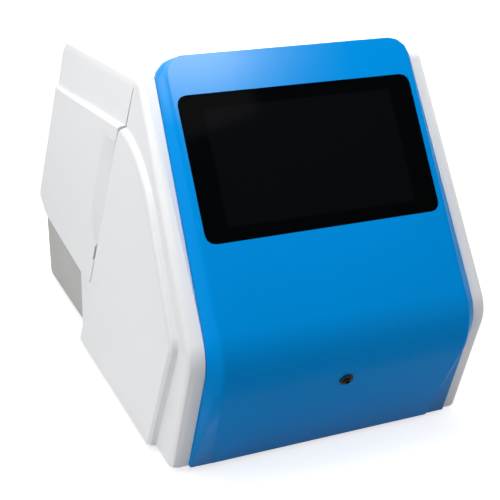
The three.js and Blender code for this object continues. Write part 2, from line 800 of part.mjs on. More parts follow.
function panelBody(shrink, shift) {
  const corners = inset(panelCorners, [shrink, shrink, shrink, 0, 0]);
  const points = rounded(corners, NOSE_STEPS);
  const plate = acrossX(points, HALF_WIDTH + PANEL_STEP - shrink, PANEL_BEVEL, PANEL_STEP, 2);
  return cut(plate, alongX(behindSeam(-2 * OVERRUN, shift), -2 * HALF_WIDTH, 2 * HALF_WIDTH));
}

function makeFrontHousing() {
  const width = 2 * HALF_WIDTH;
  const shell = acrossX(rounded(casingCorners, NOSE_STEPS), HALF_WIDTH, EDGE_ROUND, EDGE_ROUND, FINE_STEPS);
  const core = cut(
    shell,
    alongX(behindSeam(SKIRT_HEIGHT, 0), -width, width),
    span(-width, width, SKIRT_REAR, CHASSIS_REAR + OVERRUN, -2 * OVERRUN, CREST_HEIGHT),
  );
  const outside = cut(
    join(core, panelBody(0, 0)),
    span(-width, width, -width, CHASSIS_REAR + OVERRUN, -2 * OVERRUN, 0),
  );
  const thickFront = floorDepth - FACE_PROUD + WALL;
  const hollowCorners = inset(casingCorners, [thickFront, thickFront, WALL, -OVERRUN, -OVERRUN]);
  const hollow = acrossX(rounded(hollowCorners, NOSE_STEPS), HALF_WIDTH - WALL, WALL, WALL, 1);
  const panelHollow = panelBody(WALL, -WALL);
  const shelled = cut(drafted(outside), drafted(hollow), drafted(panelHollow));
  const seat = fasciaBody(-GAP, -GAP, -GAP);
  const opening = alongZ(rectangle(
    WINDOW_WIDTH - FRAME_BAND,
    WINDOW_HEIGHT - FRAME_BAND,
    WINDOW_CORNER,
  ), -2 * OVERRUN, 0);
  const portHole = barZ(GROMMET_NECK_RADIUS + SAMPLE_TUBE_RADIUS, 2 * OVERRUN, SMALL_SIDES);
  return cut(
    join(shelled, ...seatPads()),
    seat,
    placedOnFace(opening, windowMiddle, faceOut),
    placedOnFace(portHole.translate(0, 0, -2 * OVERRUN), portMiddle, lowOut),
  );
}

const padShares = [0.25, 0.7];

// Pads inside the side walls, where the housing is screwed to the chassis.
function seatPads() {
  const inner = CHASSIS_HALF_WIDTH + GAP;
  const outer = HALF_WIDTH + PANEL_STEP - WALL / 2;
  const pads = [];
  for (const share of padShares) {
    const middle = CHASSIS_FRONT + share * (SKIRT_REAR - CHASSIS_FRONT);
    const [front, rear] = [middle - SEAT_PAD_LENGTH / 2, middle + SEAT_PAD_LENGTH / 2];
    const top = SEAT_PAD_BASE + SEAT_PAD_HEIGHT;
    pads.push(span(inner, outer, front, rear, SEAT_PAD_BASE, top));
    pads.push(span(-outer, -inner, front, rear, SEAT_PAD_BASE, top));
  }
  return pads;
}

// Rear cover
const hingeAxis = point(CHASSIS_REAR + GAP + HINGE_LEAF / 2, HINGE_HEIGHT);
const rearUp = point(-Math.sin(degToRad(COVER_REAR_LEAN)), Math.cos(degToRad(COVER_REAR_LEAN)));
const rearOut = point(rearUp.y, -rearUp.x);
const coverHeel = hingeAxis.clone()
  .addScaledVector(rearOut, -GAP - HINGE_LEAF / 2)
  .addScaledVector(rearUp, HINGE_RADIUS + SEAM_GAP);
const seamShift = SEAM_GAP / Math.cos(degToRad(SEAM_LEAN));
const lipAt = (y) => COVER_LIP + (y - seamFoot) * slope(COVER_LIP_RISE);
const chinHeight = lipAt(seamFoot + seamShift) / (1 + slope(SEAM_LEAN) * slope(COVER_LIP_RISE));
const rearAt = (height) => coverHeel.x - (height - coverHeel.y) * slope(COVER_REAR_LEAN);

// The place where the rear face reaches a line that falls towards the rear.
function rearCorner(lineAt, fall) {
  const rise = (lineAt(coverHeel.x) - coverHeel.y) / (1 - slope(COVER_REAR_LEAN) * slope(fall));
  return [rearAt(coverHeel.y + rise), coverHeel.y + rise];
}

// Full width form of the cover, or of the room inside it, before the lower edges are trimmed.
function coverForm(shrink) {
  const layer = (lineAt, fall) => rounded(inset([
    [0, lineAt(0)],
    [0, -OVERRUN],
    [rearAt(-OVERRUN), -OVERRUN],
    [...rearCorner(lineAt, fall), COVER_TOP_RADIUS],
  ], [0, 0, shrink, shrink]));
  const upper = acrossX(
    layer(topAt, TOP_FALL),
    HALF_WIDTH - shrink,
    COVER_SIDE_ROUND - shrink,
    COVER_SIDE_ROUND - shrink,
    FINE_STEPS,
  );
  const wide = HALF_WIDTH + PANEL_STEP - shrink;
  const lower = acrossX(
    layer(ledgeAt, LEDGE_FALL),
    wide,
    COVER_LEDGE_ROUND,
    COVER_LEDGE_ROUND,
    1,
  );
  const rear = rearAt(0) - shrink / Math.cos(degToRad(COVER_REAR_LEAN));
  const plan = alongZ(rounded([
    [-wide, -OVERRUN],
    [wide, -OVERRUN],
    [wide, rear, COVER_FADE - shrink],
    [-wide, rear, COVER_FADE - shrink],
  ], NOSE_STEPS), -2 * OVERRUN, CREST_HEIGHT + 2 * OVERRUN);
  const lean = new THREE.Matrix4().makeShear(0, 0, 0, 0, 0, -slope(COVER_REAR_LEAN));
  return common(join(upper, lower), plan.applyMatrix4(lean));
}

// Finger scoop: a wedge that deepens towards the seam, with a floor that faces up and out.
function scoop(side, grow) {
  const outer = HALF_WIDTH + PANEL_STEP;
  const depthAt = (back) => SCOOP_DEPTH * (1 - back / SCOOP_WIDTH) + grow;
  const floorAt = (back, depth) => SCOOP_TOE - grow
    + (back / SCOOP_WIDTH) * (SCOOP_HEEL - SCOOP_TOE)
    + (depth / SCOOP_DEPTH) * (SCOOP_FLOOR - SCOOP_TOE);
  const ahead = -OVERRUN;
  const behind = SCOOP_WIDTH + (grow * SCOOP_WIDTH) / SCOOP_DEPTH;
  const corners = [
    [ahead, depthAt(ahead)],
    [ahead, -OVERRUN],
    [behind, -OVERRUN],
    [behind, depthAt(behind)],
  ];
  const place = (back, depth, height) => {
    const x = side * (outer - depth);
    return new THREE.Vector3(x, seamAt(height) + back, height);
  };
  return loft([
    corners.map(([back, depth]) => place(back, depth, floorAt(back, depth))),
    corners.map(([back, depth]) => place(back, depth, SCOOP_TOP + grow)),
  ]);
}

function makeCover() {
  const high = CREST_HEIGHT + 2 * OVERRUN;
  const trimmed = (back) => alongX(rounded([
    [seamAt(chinHeight) + seamShift + back, chinHeight, COVER_CHIN_RADIUS],
    [COVER_LIP_BEND, lipAt(COVER_LIP_BEND), COVER_CHIN_RADIUS],
    [COVER_LIP_END, coverHeel.y, COVER_CHIN_RADIUS],
    [coverHeel.x + OVERRUN, coverHeel.y],
    [coverHeel.x + OVERRUN, high],
    [seamAt(high) + seamShift + back, high],
  ]), -2 * HALF_WIDTH, 2 * HALF_WIDTH);
  const outside = common(coverForm(0), trimmed(0));
  const inside = cut(coverForm(WALL), scoop(-1, WALL), scoop(1, WALL));
  const slot = alongX([
    point(seamAt(NOTCH_FLOOR) - OVERRUN, NOTCH_FLOOR),
    point(seamAt(NOTCH_FLOOR) + seamShift + NOTCH_WIDTH, NOTCH_FLOOR),
    point(seamAt(NOTCH_TOP) + seamShift + NOTCH_WIDTH, NOTCH_TOP),
    point(seamAt(NOTCH_TOP) - OVERRUN, NOTCH_TOP),
  ], -2 * HALF_WIDTH, 2 * HALF_WIDTH);
  const shell = cut(drafted(outside), drafted(inside), drafted(scoop(-1, 0)), drafted(scoop(1, 0)), slot);
  const band = (shrink) => inset([
    [0, topAt(0)],
    [0, -OVERRUN],
    [rearAt(-OVERRUN), -OVERRUN],
    rearCorner(topAt, TOP_FALL),
  ], [0, 0, shrink, shrink]);
  const ribs = [-1, 1].map((side) => {
    const left = side * COVER_RIB_X - COVER_RIB_THICKNESS / 2;
    const rib = cut(
      alongX(rounded(band(WALL / 2)), left, left + COVER_RIB_THICKNESS),
      alongX(rounded(band(WALL + COVER_RIB_DEPTH)), -HALF_WIDTH, HALF_WIDTH),
    );
    return common(rib, trimmed(COVER_RIB_DEPTH));
  });
  return join(shell, ...ribs);
}

// Chassis tray with folded walls, deck flanges and board posts
const sideOutline = (front) => [
  [front, 0],
  [CHASSIS_REAR - SHEET - GAP, 0],
  [CHASSIS_REAR - SHEET - GAP, REAR_PANEL_HEIGHT],
  [CHASSIS_REAR - CHASSIS_RAMP, DECK_HEIGHT],
  [CHASSIS_BROW, DECK_HEIGHT],
  [front, CHASSIS_CHEEK],
];
const feetPlaces = [-1, 1].flatMap((side) => [CHASSIS_FRONT + FOOT_INSET, CHASSIS_REAR - FOOT_INSET]
  .map((y) => new THREE.Vector3(side * FOOT_X, y, 0)));
const boardCorners = [-1, 1].flatMap((side) => [-1, 1].map((end) => new THREE.Vector3(
  MAIN_BOARD_X + side * (MAIN_BOARD_WIDTH / 2 - POST_INSET),
  MAIN_BOARD_Y + end * (MAIN_BOARD_LENGTH / 2 - POST_INSET),
  SHEET,
)));

function makeChassis() {
  const half = CHASSIS_HALF_WIDTH;
  const rear = CHASSIS_REAR - SHEET - GAP;
  const outline = sideOutline(CHASSIS_FRONT).map(([y, z]) => point(y, z));
  const pieces = [
    span(-half, half, CHASSIS_FRONT, rear, 0, SHEET),
    span(-half, half, CHASSIS_FRONT, CHASSIS_FRONT + SHEET, 0, CHASSIS_CHEEK),
  ];
  for (const side of [-1, 1]) {
    const [wallA, wallB] = [side * half, side * (half - SHEET)];
    pieces.push(alongX(outline, Math.min(wallA, wallB), Math.max(wallA, wallB)));
    const [lipA, lipB] = [side * half, side * (half - FLANGE)];
    pieces.push(span(
      Math.min(lipA, lipB), Math.max(lipA, lipB),
      CHASSIS_BROW, CHASSIS_REAR - CHASSIS_RAMP,
      DECK_HEIGHT - SHEET, DECK_HEIGHT,
    ));
    pieces.push(span(
      Math.min(lipA, lipB), Math.max(lipA, lipB), rear - SHEET, rear, 0, REAR_PANEL_HEIGHT - SHEET,
    ));
  }
  for (const corner of boardCorners) {
    const post = barZ(POST_RADIUS, SHEET + MAIN_BOARD_RISE - GAP, SMALL_SIDES);
    pieces.push(post.translate(corner.x, corner.y, 0));
  }
  const holes = feetPlaces.map((place) => barZ(FOOT_PLUG_RADIUS + GAP, SHEET + 2 * GAP, SMALL_SIDES)
    .translate(place.x, place.y, -GAP));
  const drain = barY(WASTE_STEM_RADIUS + GAP, FLANGE, SMALL_SIDES);
  holes.push(drain.translate(WASTE_X, rear - FLANGE / 2, WASTE_HEIGHT));
  for (let slot = 0; slot < SLOT_COUNT; slot += 1) {
    const y = SUPPLY_Y + (slot - (SLOT_COUNT - 1) / 2) * SLOT_PITCH;
    const outline = rectangle(SLOT_LENGTH, SLOT_WIDTH, SLOT_WIDTH / 3, SUPPLY_X, y, 1);
    holes.push(alongZ(outline, -GAP, SHEET + GAP));
  }
  return cut(join(...pieces), ...holes);
}

function makeFoot() {
  const sole = [[0, -FOOT_DROP], [FOOT_RADIUS - FOOT_TAPER, -FOOT_DROP], [FOOT_RADIUS, -GAP], [0, -GAP]];
  const plug = [
    [0, -FOOT_TAPER],
    [FOOT_PLUG_RADIUS, -FOOT_TAPER],
    [FOOT_PLUG_RADIUS, SHEET + GAP],
    [FOOT_PLUG_RADIUS + FOOT_PLUG_LIP, SHEET + GAP],
    [FOOT_PLUG_RADIUS, SHEET + FOOT_PLUG_LIP + GAP],
    [0, SHEET + FOOT_PLUG_LIP + GAP],
  ];
  return join(turned(sole), turned(plug, SMALL_SIDES));
}

// Deck between the chassis flanges
const deckTop = DECK_HEIGHT + GAP + SHEET;
const deckRear = CHASSIS_REAR - CHASSIS_RAMP - GAP;
const drainY = deckRear - 2 * FLANGE;

function makeDeck() {
  const half = CHASSIS_HALF_WIDTH - DECK_INSET;
  const length = deckRear - DECK_FRONT;
  const outline = rectangle(2 * half, length, DECK_CORNER, 0, DECK_FRONT + length / 2);
  const plate = alongZ(outline, deckTop - SHEET, deckTop);
  const front = span(-half, half, DECK_FRONT, DECK_FRONT + SHEET, deckTop - FLANGE, deckTop - SHEET / 2);
  const inner = CHASSIS_HALF_WIDTH - FLANGE - SHEET;
  const lip = common(front, span(-inner, inner, DECK_FRONT, deckRear, 0, deckTop));
  const under = deckTop - SHEET - GAP;
  return cut(
    join(plate, lip),
    barZ(PUMP_MOTOR_PILOT + GAP, SHEET + 2 * GAP).translate(PUMP_X, PUMP_Y, under),
    barZ(DRAIN_HOLE_RADIUS, SHEET + 2 * GAP, SMALL_SIDES).translate(DRAIN_X, drainY, under),
  );
}

// Rear panel and what is fitted in it
const panelFront = CHASSIS_REAR - SHEET;
const fanMiddle = new THREE.Vector3(FAN_X, panelFront - GAP - FAN_DEPTH, FAN_HEIGHT);
const fanCorners = [-1, 1].flatMap((side) => [-1, 1].map((end) => new THREE.Vector2(
  side * (FAN_SIZE / 2 - FAN_HOLE_INSET),
  end * (FAN_SIZE / 2 - FAN_HOLE_INSET),
)));

function makeRearPanel() {
  const half = CHASSIS_HALF_WIDTH;
  const outline = rectangle(2 * half, REAR_PANEL_HEIGHT, SHEET, 0, REAR_PANEL_HEIGHT / 2);
  const sheet = alongY(outline, panelFront, CHASSIS_REAR);
  const through = (shape) => alongY(shape, panelFront - GAP, CHASSIS_REAR + GAP);
  const round = (radius, x, z, sides) => through(circle(radius, sides, x, z));
  const holes = [
    round(FAN_BORE, FAN_X, FAN_HEIGHT, ROUND_SIDES),
    through(rectangle(INLET_BODY_WIDTH + 2 * GAP, INLET_BODY_HEIGHT + 2 * GAP, 0, INLET_X, INLET_HEIGHT)),
    through(rectangle(SWITCH_WIDTH + 2 * GAP, SWITCH_TALL + 2 * GAP, 0, SWITCH_X, INLET_HEIGHT)),
    through(rectangle(USB_WIDTH + 2 * GAP, USB_TALL + 2 * GAP, 0, USB_X, INLET_HEIGHT)),
    round(WASTE_STEM_RADIUS + GAP, WASTE_X, WASTE_HEIGHT, SMALL_SIDES),
  ];
  for (const corner of fanCorners) {
    holes.push(round(FAN_HOLE_RADIUS, FAN_X + corner.x, FAN_HEIGHT + corner.y, SMALL_SIDES));
  }
  return cut(sheet, ...holes);
}

// Fan parts lie with their axis along +Y; their front face is at the origin.
function makeFanFrame() {
  const plate = alongY(rectangle(FAN_SIZE, FAN_SIZE, FAN_HOLE_INSET), 0, FAN_DEPTH);
  const bore = barY(FAN_BORE, FAN_DEPTH + 2 * GAP).translate(0, -GAP, 0);
  const waistOuter = rectangle(FAN_SIZE + FAN_SIZE, FAN_SIZE + FAN_SIZE);
  const waist = cut(
    alongY(waistOuter, FAN_MOTOR_DEPTH, FAN_DEPTH - FAN_MOTOR_DEPTH),
    barY(FAN_BORE + SHEET, FAN_DEPTH),
  );
  const holes = fanCorners.map((corner) => barY(FAN_HOLE_RADIUS, FAN_DEPTH + 2 * GAP, SMALL_SIDES)
    .translate(corner.x, -GAP, corner.y));
  const ring = cut(plate, bore, waist, ...holes);
  const rear = FAN_DEPTH - FAN_MOTOR_DEPTH;
  const hub = barY(FAN_HUB_RADIUS, FAN_MOTOR_DEPTH, ROUND_SIDES).translate(0, rear, 0);
  const struts = [0, 1].map((turn) => span(
    -FAN_BORE - SHEET / 2, FAN_BORE + SHEET / 2, rear, FAN_DEPTH, -FAN_STRUT_WIDTH / 2, FAN_STRUT_WIDTH / 2,
  ).rotateY(Math.PI / 4 + (turn * Math.PI) / 2));
  const shaftHole = barY(FAN_SHAFT_RADIUS + RUNNING_GAP, FAN_MOTOR_DEPTH, SMALL_SIDES);
  return cut(join(ring, hub, ...struts), shaftHole.translate(0, rear - GAP, 0));
}

function makeFanRotor() {
  const front = (FAN_DEPTH - FAN_MOTOR_DEPTH - FAN_HUB_DEPTH) / 2;
  const reach = FAN_BORE - FAN_TIP_GAP;
  const blades = [];
  for (let blade = 0; blade < FAN_BLADES; blade += 1) {
    const plate = block(reach, FAN_BLADE_DEPTH, FAN_BLADE_THICKNESS);
    plate.rotateX(degToRad(FAN_BLADE_PITCH)).translate(reach / 2 + FAN_SHAFT_RADIUS, 0, 0);
    blades.push(plate.rotateY((2 * Math.PI * blade) / FAN_BLADES).translate(0, front + FAN_HUB_DEPTH / 2, 0));
  }
  const envelope = barY(reach, FAN_HUB_DEPTH).translate(0, front, 0);
  const cup = cut(
    barY(FAN_HUB_RADIUS, FAN_HUB_DEPTH).translate(0, front, 0),
    barY(FAN_HUB_RADIUS - FAN_SHAFT_RADIUS, FAN_HUB_DEPTH).translate(0, front + FAN_BLADE_THICKNESS, 0),
  );
  const shaft = barY(FAN_SHAFT_RADIUS, FAN_DEPTH - front - GAP, SMALL_SIDES).translate(0, front, 0);
  const core = barY(FAN_HUB_RADIUS - FAN_BLADE_THICKNESS, FAN_HUB_DEPTH - FAN_BLADE_THICKNESS);
  const wings = cut(common(join(...blades), envelope), core.translate(0, front + FAN_BLADE_THICKNESS, 0));
  return join(cup, wings, shaft);
}

function makeFanGuard() {
  const pieces = [];
  for (let ring = 0; ring < GUARD_RINGS; ring += 1) {
    const radius = (FAN_BORE * (ring + 1)) / GUARD_RINGS;
    pieces.push(cut(
      barY(radius, GUARD_WIRE),
      barY(radius - GUARD_WIRE, GUARD_WIRE + 2 * GAP).translate(0, -GAP, 0),
    ));
  }
  for (const corner of fanCorners) {
    const bar = span(0, corner.length(), 0, GUARD_WIRE, -GUARD_WIRE / 2, GUARD_WIRE / 2);
    pieces.push(bar.rotateY(-corner.angle()));
    const eye = barY(FAN_HOLE_INSET - GUARD_WIRE / 2, GUARD_WIRE, SMALL_SIDES);
    pieces.push(eye.translate(corner.x, 0, corner.y));
  }
  const holes = fanCorners.map((corner) => barY(FAN_HOLE_RADIUS, GUARD_WIRE + 2 * GAP, SMALL_SIDES)
    .translate(corner.x, -GAP, corner.y));
  const middle = barY(FAN_HUB_RADIUS - GUARD_WIRE, GUARD_WIRE, SMALL_SIDES);
  return cut(join(...pieces, middle), ...holes);
}

// Fittings with their flange on the panel's outer face, at y = 0; they reach inwards along -Y.
function makeInlet() {
  const flange = alongY(
    rectangle(INLET_FLANGE_WIDTH, INLET_FLANGE_HEIGHT, INLET_FLANGE_CORNER),
    GAP,
    GAP + INLET_FLANGE_THICKNESS,
  );
  const corner = INLET_PIN_THICKNESS;
  const housing = alongY(rectangle(INLET_BODY_WIDTH, INLET_BODY_HEIGHT, corner), -INLET_BODY_DEPTH, 2 * GAP);
  const mouth = GAP + INLET_FLANGE_THICKNESS;
  const socket = alongY(
    rectangle(INLET_SOCKET_WIDTH, INLET_SOCKET_HEIGHT, corner), mouth - INLET_SOCKET_DEPTH, mouth + GAP,
  );
  const shell = cut(join(flange, housing), socket);
  const pins = [-1, 0, 1].map((side) => {
    const rise = side === 0 ? INLET_PIN_RISE : -INLET_PIN_RISE;
    const pin = span(
      -INLET_PIN_THICKNESS / 2, INLET_PIN_THICKNESS / 2,
      mouth - INLET_SOCKET_DEPTH - GAP, mouth - INLET_SOCKET_DEPTH + INLET_PIN_LENGTH,
      -INLET_PIN_WIDTH / 2, INLET_PIN_WIDTH / 2,
    );
    return pin.translate(side * INLET_PIN_SPREAD, 0, rise);
  });
  return join(shell, ...pins);
}

const wellHeight = SWITCH_TALL - 2 * SWITCH_RIM;
const wellWidth = SWITCH_WIDTH - 2 * SWITCH_RIM;

function makeSwitchHousing() {
  const bezel = alongY(
    rectangle(SWITCH_WIDTH + SWITCH_RIM, SWITCH_TALL + SWITCH_RIM, SWITCH_RIM / 2), GAP, GAP + SWITCH_BEZEL,
  );
  const barrel = alongY(rectangle(SWITCH_WIDTH, SWITCH_TALL), -SWITCH_BODY_DEPTH, 2 * GAP);
  const well = alongY(rectangle(wellWidth, wellHeight), -ROCKER_DEPTH - SWITCH_RIM, SWITCH_BEZEL + 2 * GAP);
  return cut(join(bezel, barrel), well);
}

function makeRocker() {
  const half = wellHeight / 2 - RUNNING_GAP;
  const outline = [
    point(-ROCKER_DEPTH, -half / 2),
    point(ROCKER_PROUD, -half),
    point(ROCKER_PROUD / 2, 0),
    point(ROCKER_PROUD, half),
    point(-ROCKER_DEPTH, half / 2),
  ];
  const blade = alongX(outline, -wellWidth / 2 + RUNNING_GAP, wellWidth / 2 - RUNNING_GAP);
  const sweep = barX(half, wellWidth).translate(-wellWidth / 2, 0, 0);
  return common(blade, sweep).rotateX(degToRad(ROCKER_TILT));
}

function makeUsbPort() {
  const rim = USB_FLANGE;
  const flange = alongY(rectangle(USB_WIDTH + 2 * rim, USB_TALL + 2 * rim, rim), GAP, GAP + rim);
  const housing = alongY(rectangle(USB_WIDTH, USB_TALL), -USB_DEPTH, 2 * GAP);
  const sockets = [-1, 1].map((side) => {
    const rise = (side * USB_SLOT_PITCH) / 2;
    const mouth = rectangle(USB_SLOT_WIDTH, USB_SLOT_HEIGHT, 0, 0, rise);
    return alongY(mouth, -USB_SLOT_DEPTH, 2 * rim);
  });
  const tongues = [-1, 1].map((side) => {
    const rise = (side * USB_SLOT_PITCH) / 2;
    const blade = rectangle(USB_SLOT_WIDTH - 2 * rim, USB_TONGUE, 0, 0, rise + rim / 2);
    return alongY(blade, -USB_SLOT_DEPTH - GAP, -rim);
  });
  return join(cut(join(flange, housing), ...sockets), ...tongues);
}

function makeWasteFitting() {
  const hexagon = circle(WASTE_NUT_RADIUS, 6);
  const nut = alongY(hexagon, GAP, GAP + WASTE_NUT_DEPTH);
  const stem = barY(WASTE_STEM_RADIUS, WASTE_STEM_DEPTH + WASTE_NUT_DEPTH, SMALL_SIDES);
  const barb = barY(WASTE_BARB_RADIUS, WASTE_BARB_LENGTH, SMALL_SIDES, WASTE_BARB_RADIUS - WASTE_BORE / 2);
  const start = GAP + WASTE_NUT_DEPTH;
  const bore = barY(WASTE_BORE, WASTE_STEM_DEPTH + start + WASTE_BARB_LENGTH + 2 * GAP, SMALL_SIDES);
  return cut(
    join(nut, stem.translate(0, -WASTE_STEM_DEPTH, 0), barb.translate(0, start - GAP, 0)),
    bore.translate(0, -WASTE_STEM_DEPTH - GAP, 0),
  );
}

// Butt hinge along X, its axis through the origin. The knuckles of the two leaves alternate.
function makeLeaf(parity, turn) {
  const pitch = HINGE_LENGTH / KNUCKLE_COUNT;
  const leaf = alongY(
    rounded([
      [-HINGE_LENGTH / 2, 0],
      [-HINGE_LENGTH / 2, -HINGE_LEAF_REACH, HINGE_LEAF],
      [HINGE_LENGTH / 2, -HINGE_LEAF_REACH, HINGE_LEAF],
      [HINGE_LENGTH / 2, 0],
    ]),
    -HINGE_LEAF / 2,
    HINGE_LEAF / 2,
  ).rotateX(turn);
  const pieces = [leaf];
  const spaces = [];
  for (let knuckle = 0; knuckle < KNUCKLE_COUNT; knuckle += 1) {
    const own = knuckle % 2 === parity;
    const start = -HINGE_LENGTH / 2 + knuckle * pitch;
    const trim = own ? 0 : GAP / 2;
    const bar = barX(own ? HINGE_RADIUS : HINGE_RADIUS + GAP, pitch + 2 * trim, MEDIUM_SIDES);
    (own ? pieces : spaces).push(bar.translate(start - trim, 0, 0));
  }
  const bore = barX(HINGE_PIN_RADIUS + RUNNING_GAP, HINGE_LENGTH + 2 * GAP, SMALL_SIDES);
  return cut(join(...pieces), ...spaces, bore.translate(-HINGE_LENGTH / 2 - GAP, 0, 0));
}

// Photometer, its beam along +X
const beamHeight = deckTop + AXIS_RISE;
const wheelHeight = beamHeight + FILTER_CIRCLE;
const bracketRight = BRACKET_X + BRACKET_THICKNESS;
const cellBlockLeft = bracketRight + SHEET;
const cellX = cellBlockLeft + CELL_BLOCK_LENGTH - CELL_BEHIND;
const filterPlaces = Array.from({ length: FILTER_COUNT }, (_, index) => {
  const angle = (2 * Math.PI * index) / FILTER_COUNT;
  return new THREE.Vector3(0, FILTER_CIRCLE * Math.sin(angle), -FILTER_CIRCLE * Math.cos(angle));
});

// Lamp housing, standing on the deck at the origin; the beam leaves towards +X.
function makeLampHousing() {
  const outline = rectangle(LAMP_HOUSE_LENGTH, LAMP_HOUSE_WIDTH, LAMP_FLOOR / 2);
  const shell = alongZ(outline, GAP, LAMP_HOUSE_HEIGHT);
  const well = barZ(LAMP_WELL_RADIUS, LAMP_HOUSE_HEIGHT).translate(0, 0, LAMP_FLOOR);
  const port = barX(LAMP_PORT_RADIUS, LAMP_HOUSE_LENGTH, SMALL_SIDES).translate(0, 0, AXIS_RISE);
  const tools = [well, port];
  const pitch = (LAMP_HOUSE_HEIGHT - LAMP_FLOOR) / LAMP_FINS;
  for (let fin = 0; fin < LAMP_FINS; fin += 1) {
    const low = LAMP_FLOOR + fin * pitch;
    for (const side of [-1, 1]) {
      const inner = side * (LAMP_HOUSE_WIDTH / 2 - LAMP_FIN_DEPTH);
      const outer = side * LAMP_HOUSE_WIDTH;
      tools.push(span(
        -LAMP_HOUSE_LENGTH, LAMP_HOUSE_LENGTH,
        Math.min(inner, outer), Math.max(inner, outer),
        low, low + LAMP_FIN_GAP,
      ));
    }
  }
  return cut(shell, ...tools);
}

function makeLamp() {
  const low = LAMP_FLOOR + GAP;
  const neck = low + BULB_BASE_HEIGHT;
  return turned([
    [0, low],
    [BULB_BASE_RADIUS, low],
    [BULB_BASE_RADIUS, neck],
    [BULB_RADIUS, neck],
    [BULB_RADIUS, neck + BULB_HEIGHT - BULB_RADIUS],
    [BULB_RADIUS / 2, neck + BULB_HEIGHT - BULB_RADIUS / 3],
    [0, neck + BULB_HEIGHT],
  ]);
}

function makeLensBarrel() {
  const half = LENS_BARREL_LENGTH / 2;
  const outside = barX(LENS_BARREL_RADIUS, LENS_BARREL_LENGTH).translate(-half, 0, AXIS_RISE);
  const foot = span(-half, half, -LENS_FOOT_WIDTH / 2, LENS_FOOT_WIDTH / 2, GAP, GAP + SHEET);
  const web = span(-half, half, -LENS_RADIUS / 2, LENS_RADIUS / 2, GAP, AXIS_RISE);
  const bore = barX(LENS_RADIUS + GAP, LENS_BARREL_LENGTH).translate(-half + LENS_SHOULDER, 0, AXIS_RISE);
  const iris = barX(LENS_RADIUS - LENS_SHOULDER, LENS_BARREL_LENGTH + 2 * GAP);
  return cut(join(outside, foot, web), bore, iris.translate(-half - GAP, 0, AXIS_RISE));
}

function makeLens() {
  const start = -LENS_BARREL_LENGTH / 2 + LENS_SHOULDER + GAP;
  const steps = ARC_STEPS;
  const profile = [[0, 0], [LENS_RADIUS, 0], [LENS_RADIUS, LENS_EDGE]];
  for (let step = 1; step <= steps; step += 1) {
    const share = 1 - step / steps;
    profile.push([LENS_RADIUS * share, LENS_EDGE + LENS_BULGE * (1 - share * share)]);
  }
  return turned(profile).rotateY(Math.PI / 2).translate(start, 0, AXIS_RISE);
}

// Wheel with its axis on the origin, seen along +X
function makeFilterWheel() {
  const disc = barX(WHEEL_RADIUS, WHEEL_THICKNESS, 2 * MEDIUM_SIDES);
  const hub = barX(WHEEL_HUB_RADIUS, WHEEL_THICKNESS + WHEEL_HUB_LENGTH).translate(-WHEEL_HUB_LENGTH, 0, 0);
  const shaftEnd = bracketRight + MOTOR_LENGTH - WHEEL_X - SHEET;
  const shaft = barX(SHAFT_RADIUS, shaftEnd, SMALL_SIDES);
  const seats = filterPlaces.map(({ y, z }) => barX(FILTER_RADIUS + GAP / 2, WHEEL_THICKNESS, MEDIUM_SIDES)
    .translate(FILTER_SEAT, y, z));
  const portLength = WHEEL_THICKNESS + 2 * GAP;
  const ports = filterPlaces.map(({ y, z }) => barX(FILTER_RADIUS - LENS_SHOULDER, portLength, SMALL_SIDES)
    .translate(-GAP, y, z));
  const notch = barX(WHEEL_NOTCH_RADIUS, WHEEL_THICKNESS + 2 * GAP, SMALL_SIDES);
  return cut(join(disc, hub, shaft), ...seats, ...ports, notch.translate(-GAP, 0, WHEEL_RADIUS));
}

function makeFilter() {
  const disc = barX(FILTER_RADIUS, FILTER_THICKNESS, MEDIUM_SIDES);
  return disc.translate(FILTER_SEAT + GAP / 2, 0, 0);
}

function makeWheelBracket() {
  const half = BRACKET_WIDTH / 2;
  const outline = rounded([
    [OPTICS_Y - half, deckTop + GAP],
    [OPTICS_Y + half, deckTop + GAP],
    [OPTICS_Y + half, deckTop + BRACKET_HEIGHT, BRACKET_FOOT],
    [OPTICS_Y - half, deckTop + BRACKET_HEIGHT, BRACKET_FOOT],
  ]);
  const plate = alongX(outline, BRACKET_X, bracketRight);
  const reach = (half - CELL_BLOCK_WIDTH / 2) - 2 * GAP;
  const feet = [-1, 1].map((side) => {
    const outer = OPTICS_Y + side * half;
    const inner = outer - side * reach;
    return span(
      BRACKET_X, BRACKET_X + BRACKET_FOOT, Math.min(outer, inner), Math.max(outer, inner),
      deckTop + GAP, deckTop + GAP + BRACKET_THICKNESS,
    );
  });
  const beam = barX(BEAM_RADIUS, 2 * BRACKET_THICKNESS, SMALL_SIDES);
  const pilot = barX(MOTOR_PILOT_RADIUS + GAP, 2 * BRACKET_THICKNESS);
  return cut(
    join(plate, ...feet),
    beam.translate(BRACKET_X - BRACKET_THICKNESS / 2, OPTICS_Y, beamHeight),
    pilot.translate(BRACKET_X - BRACKET_THICKNESS / 2, OPTICS_Y, wheelHeight),
  );
}

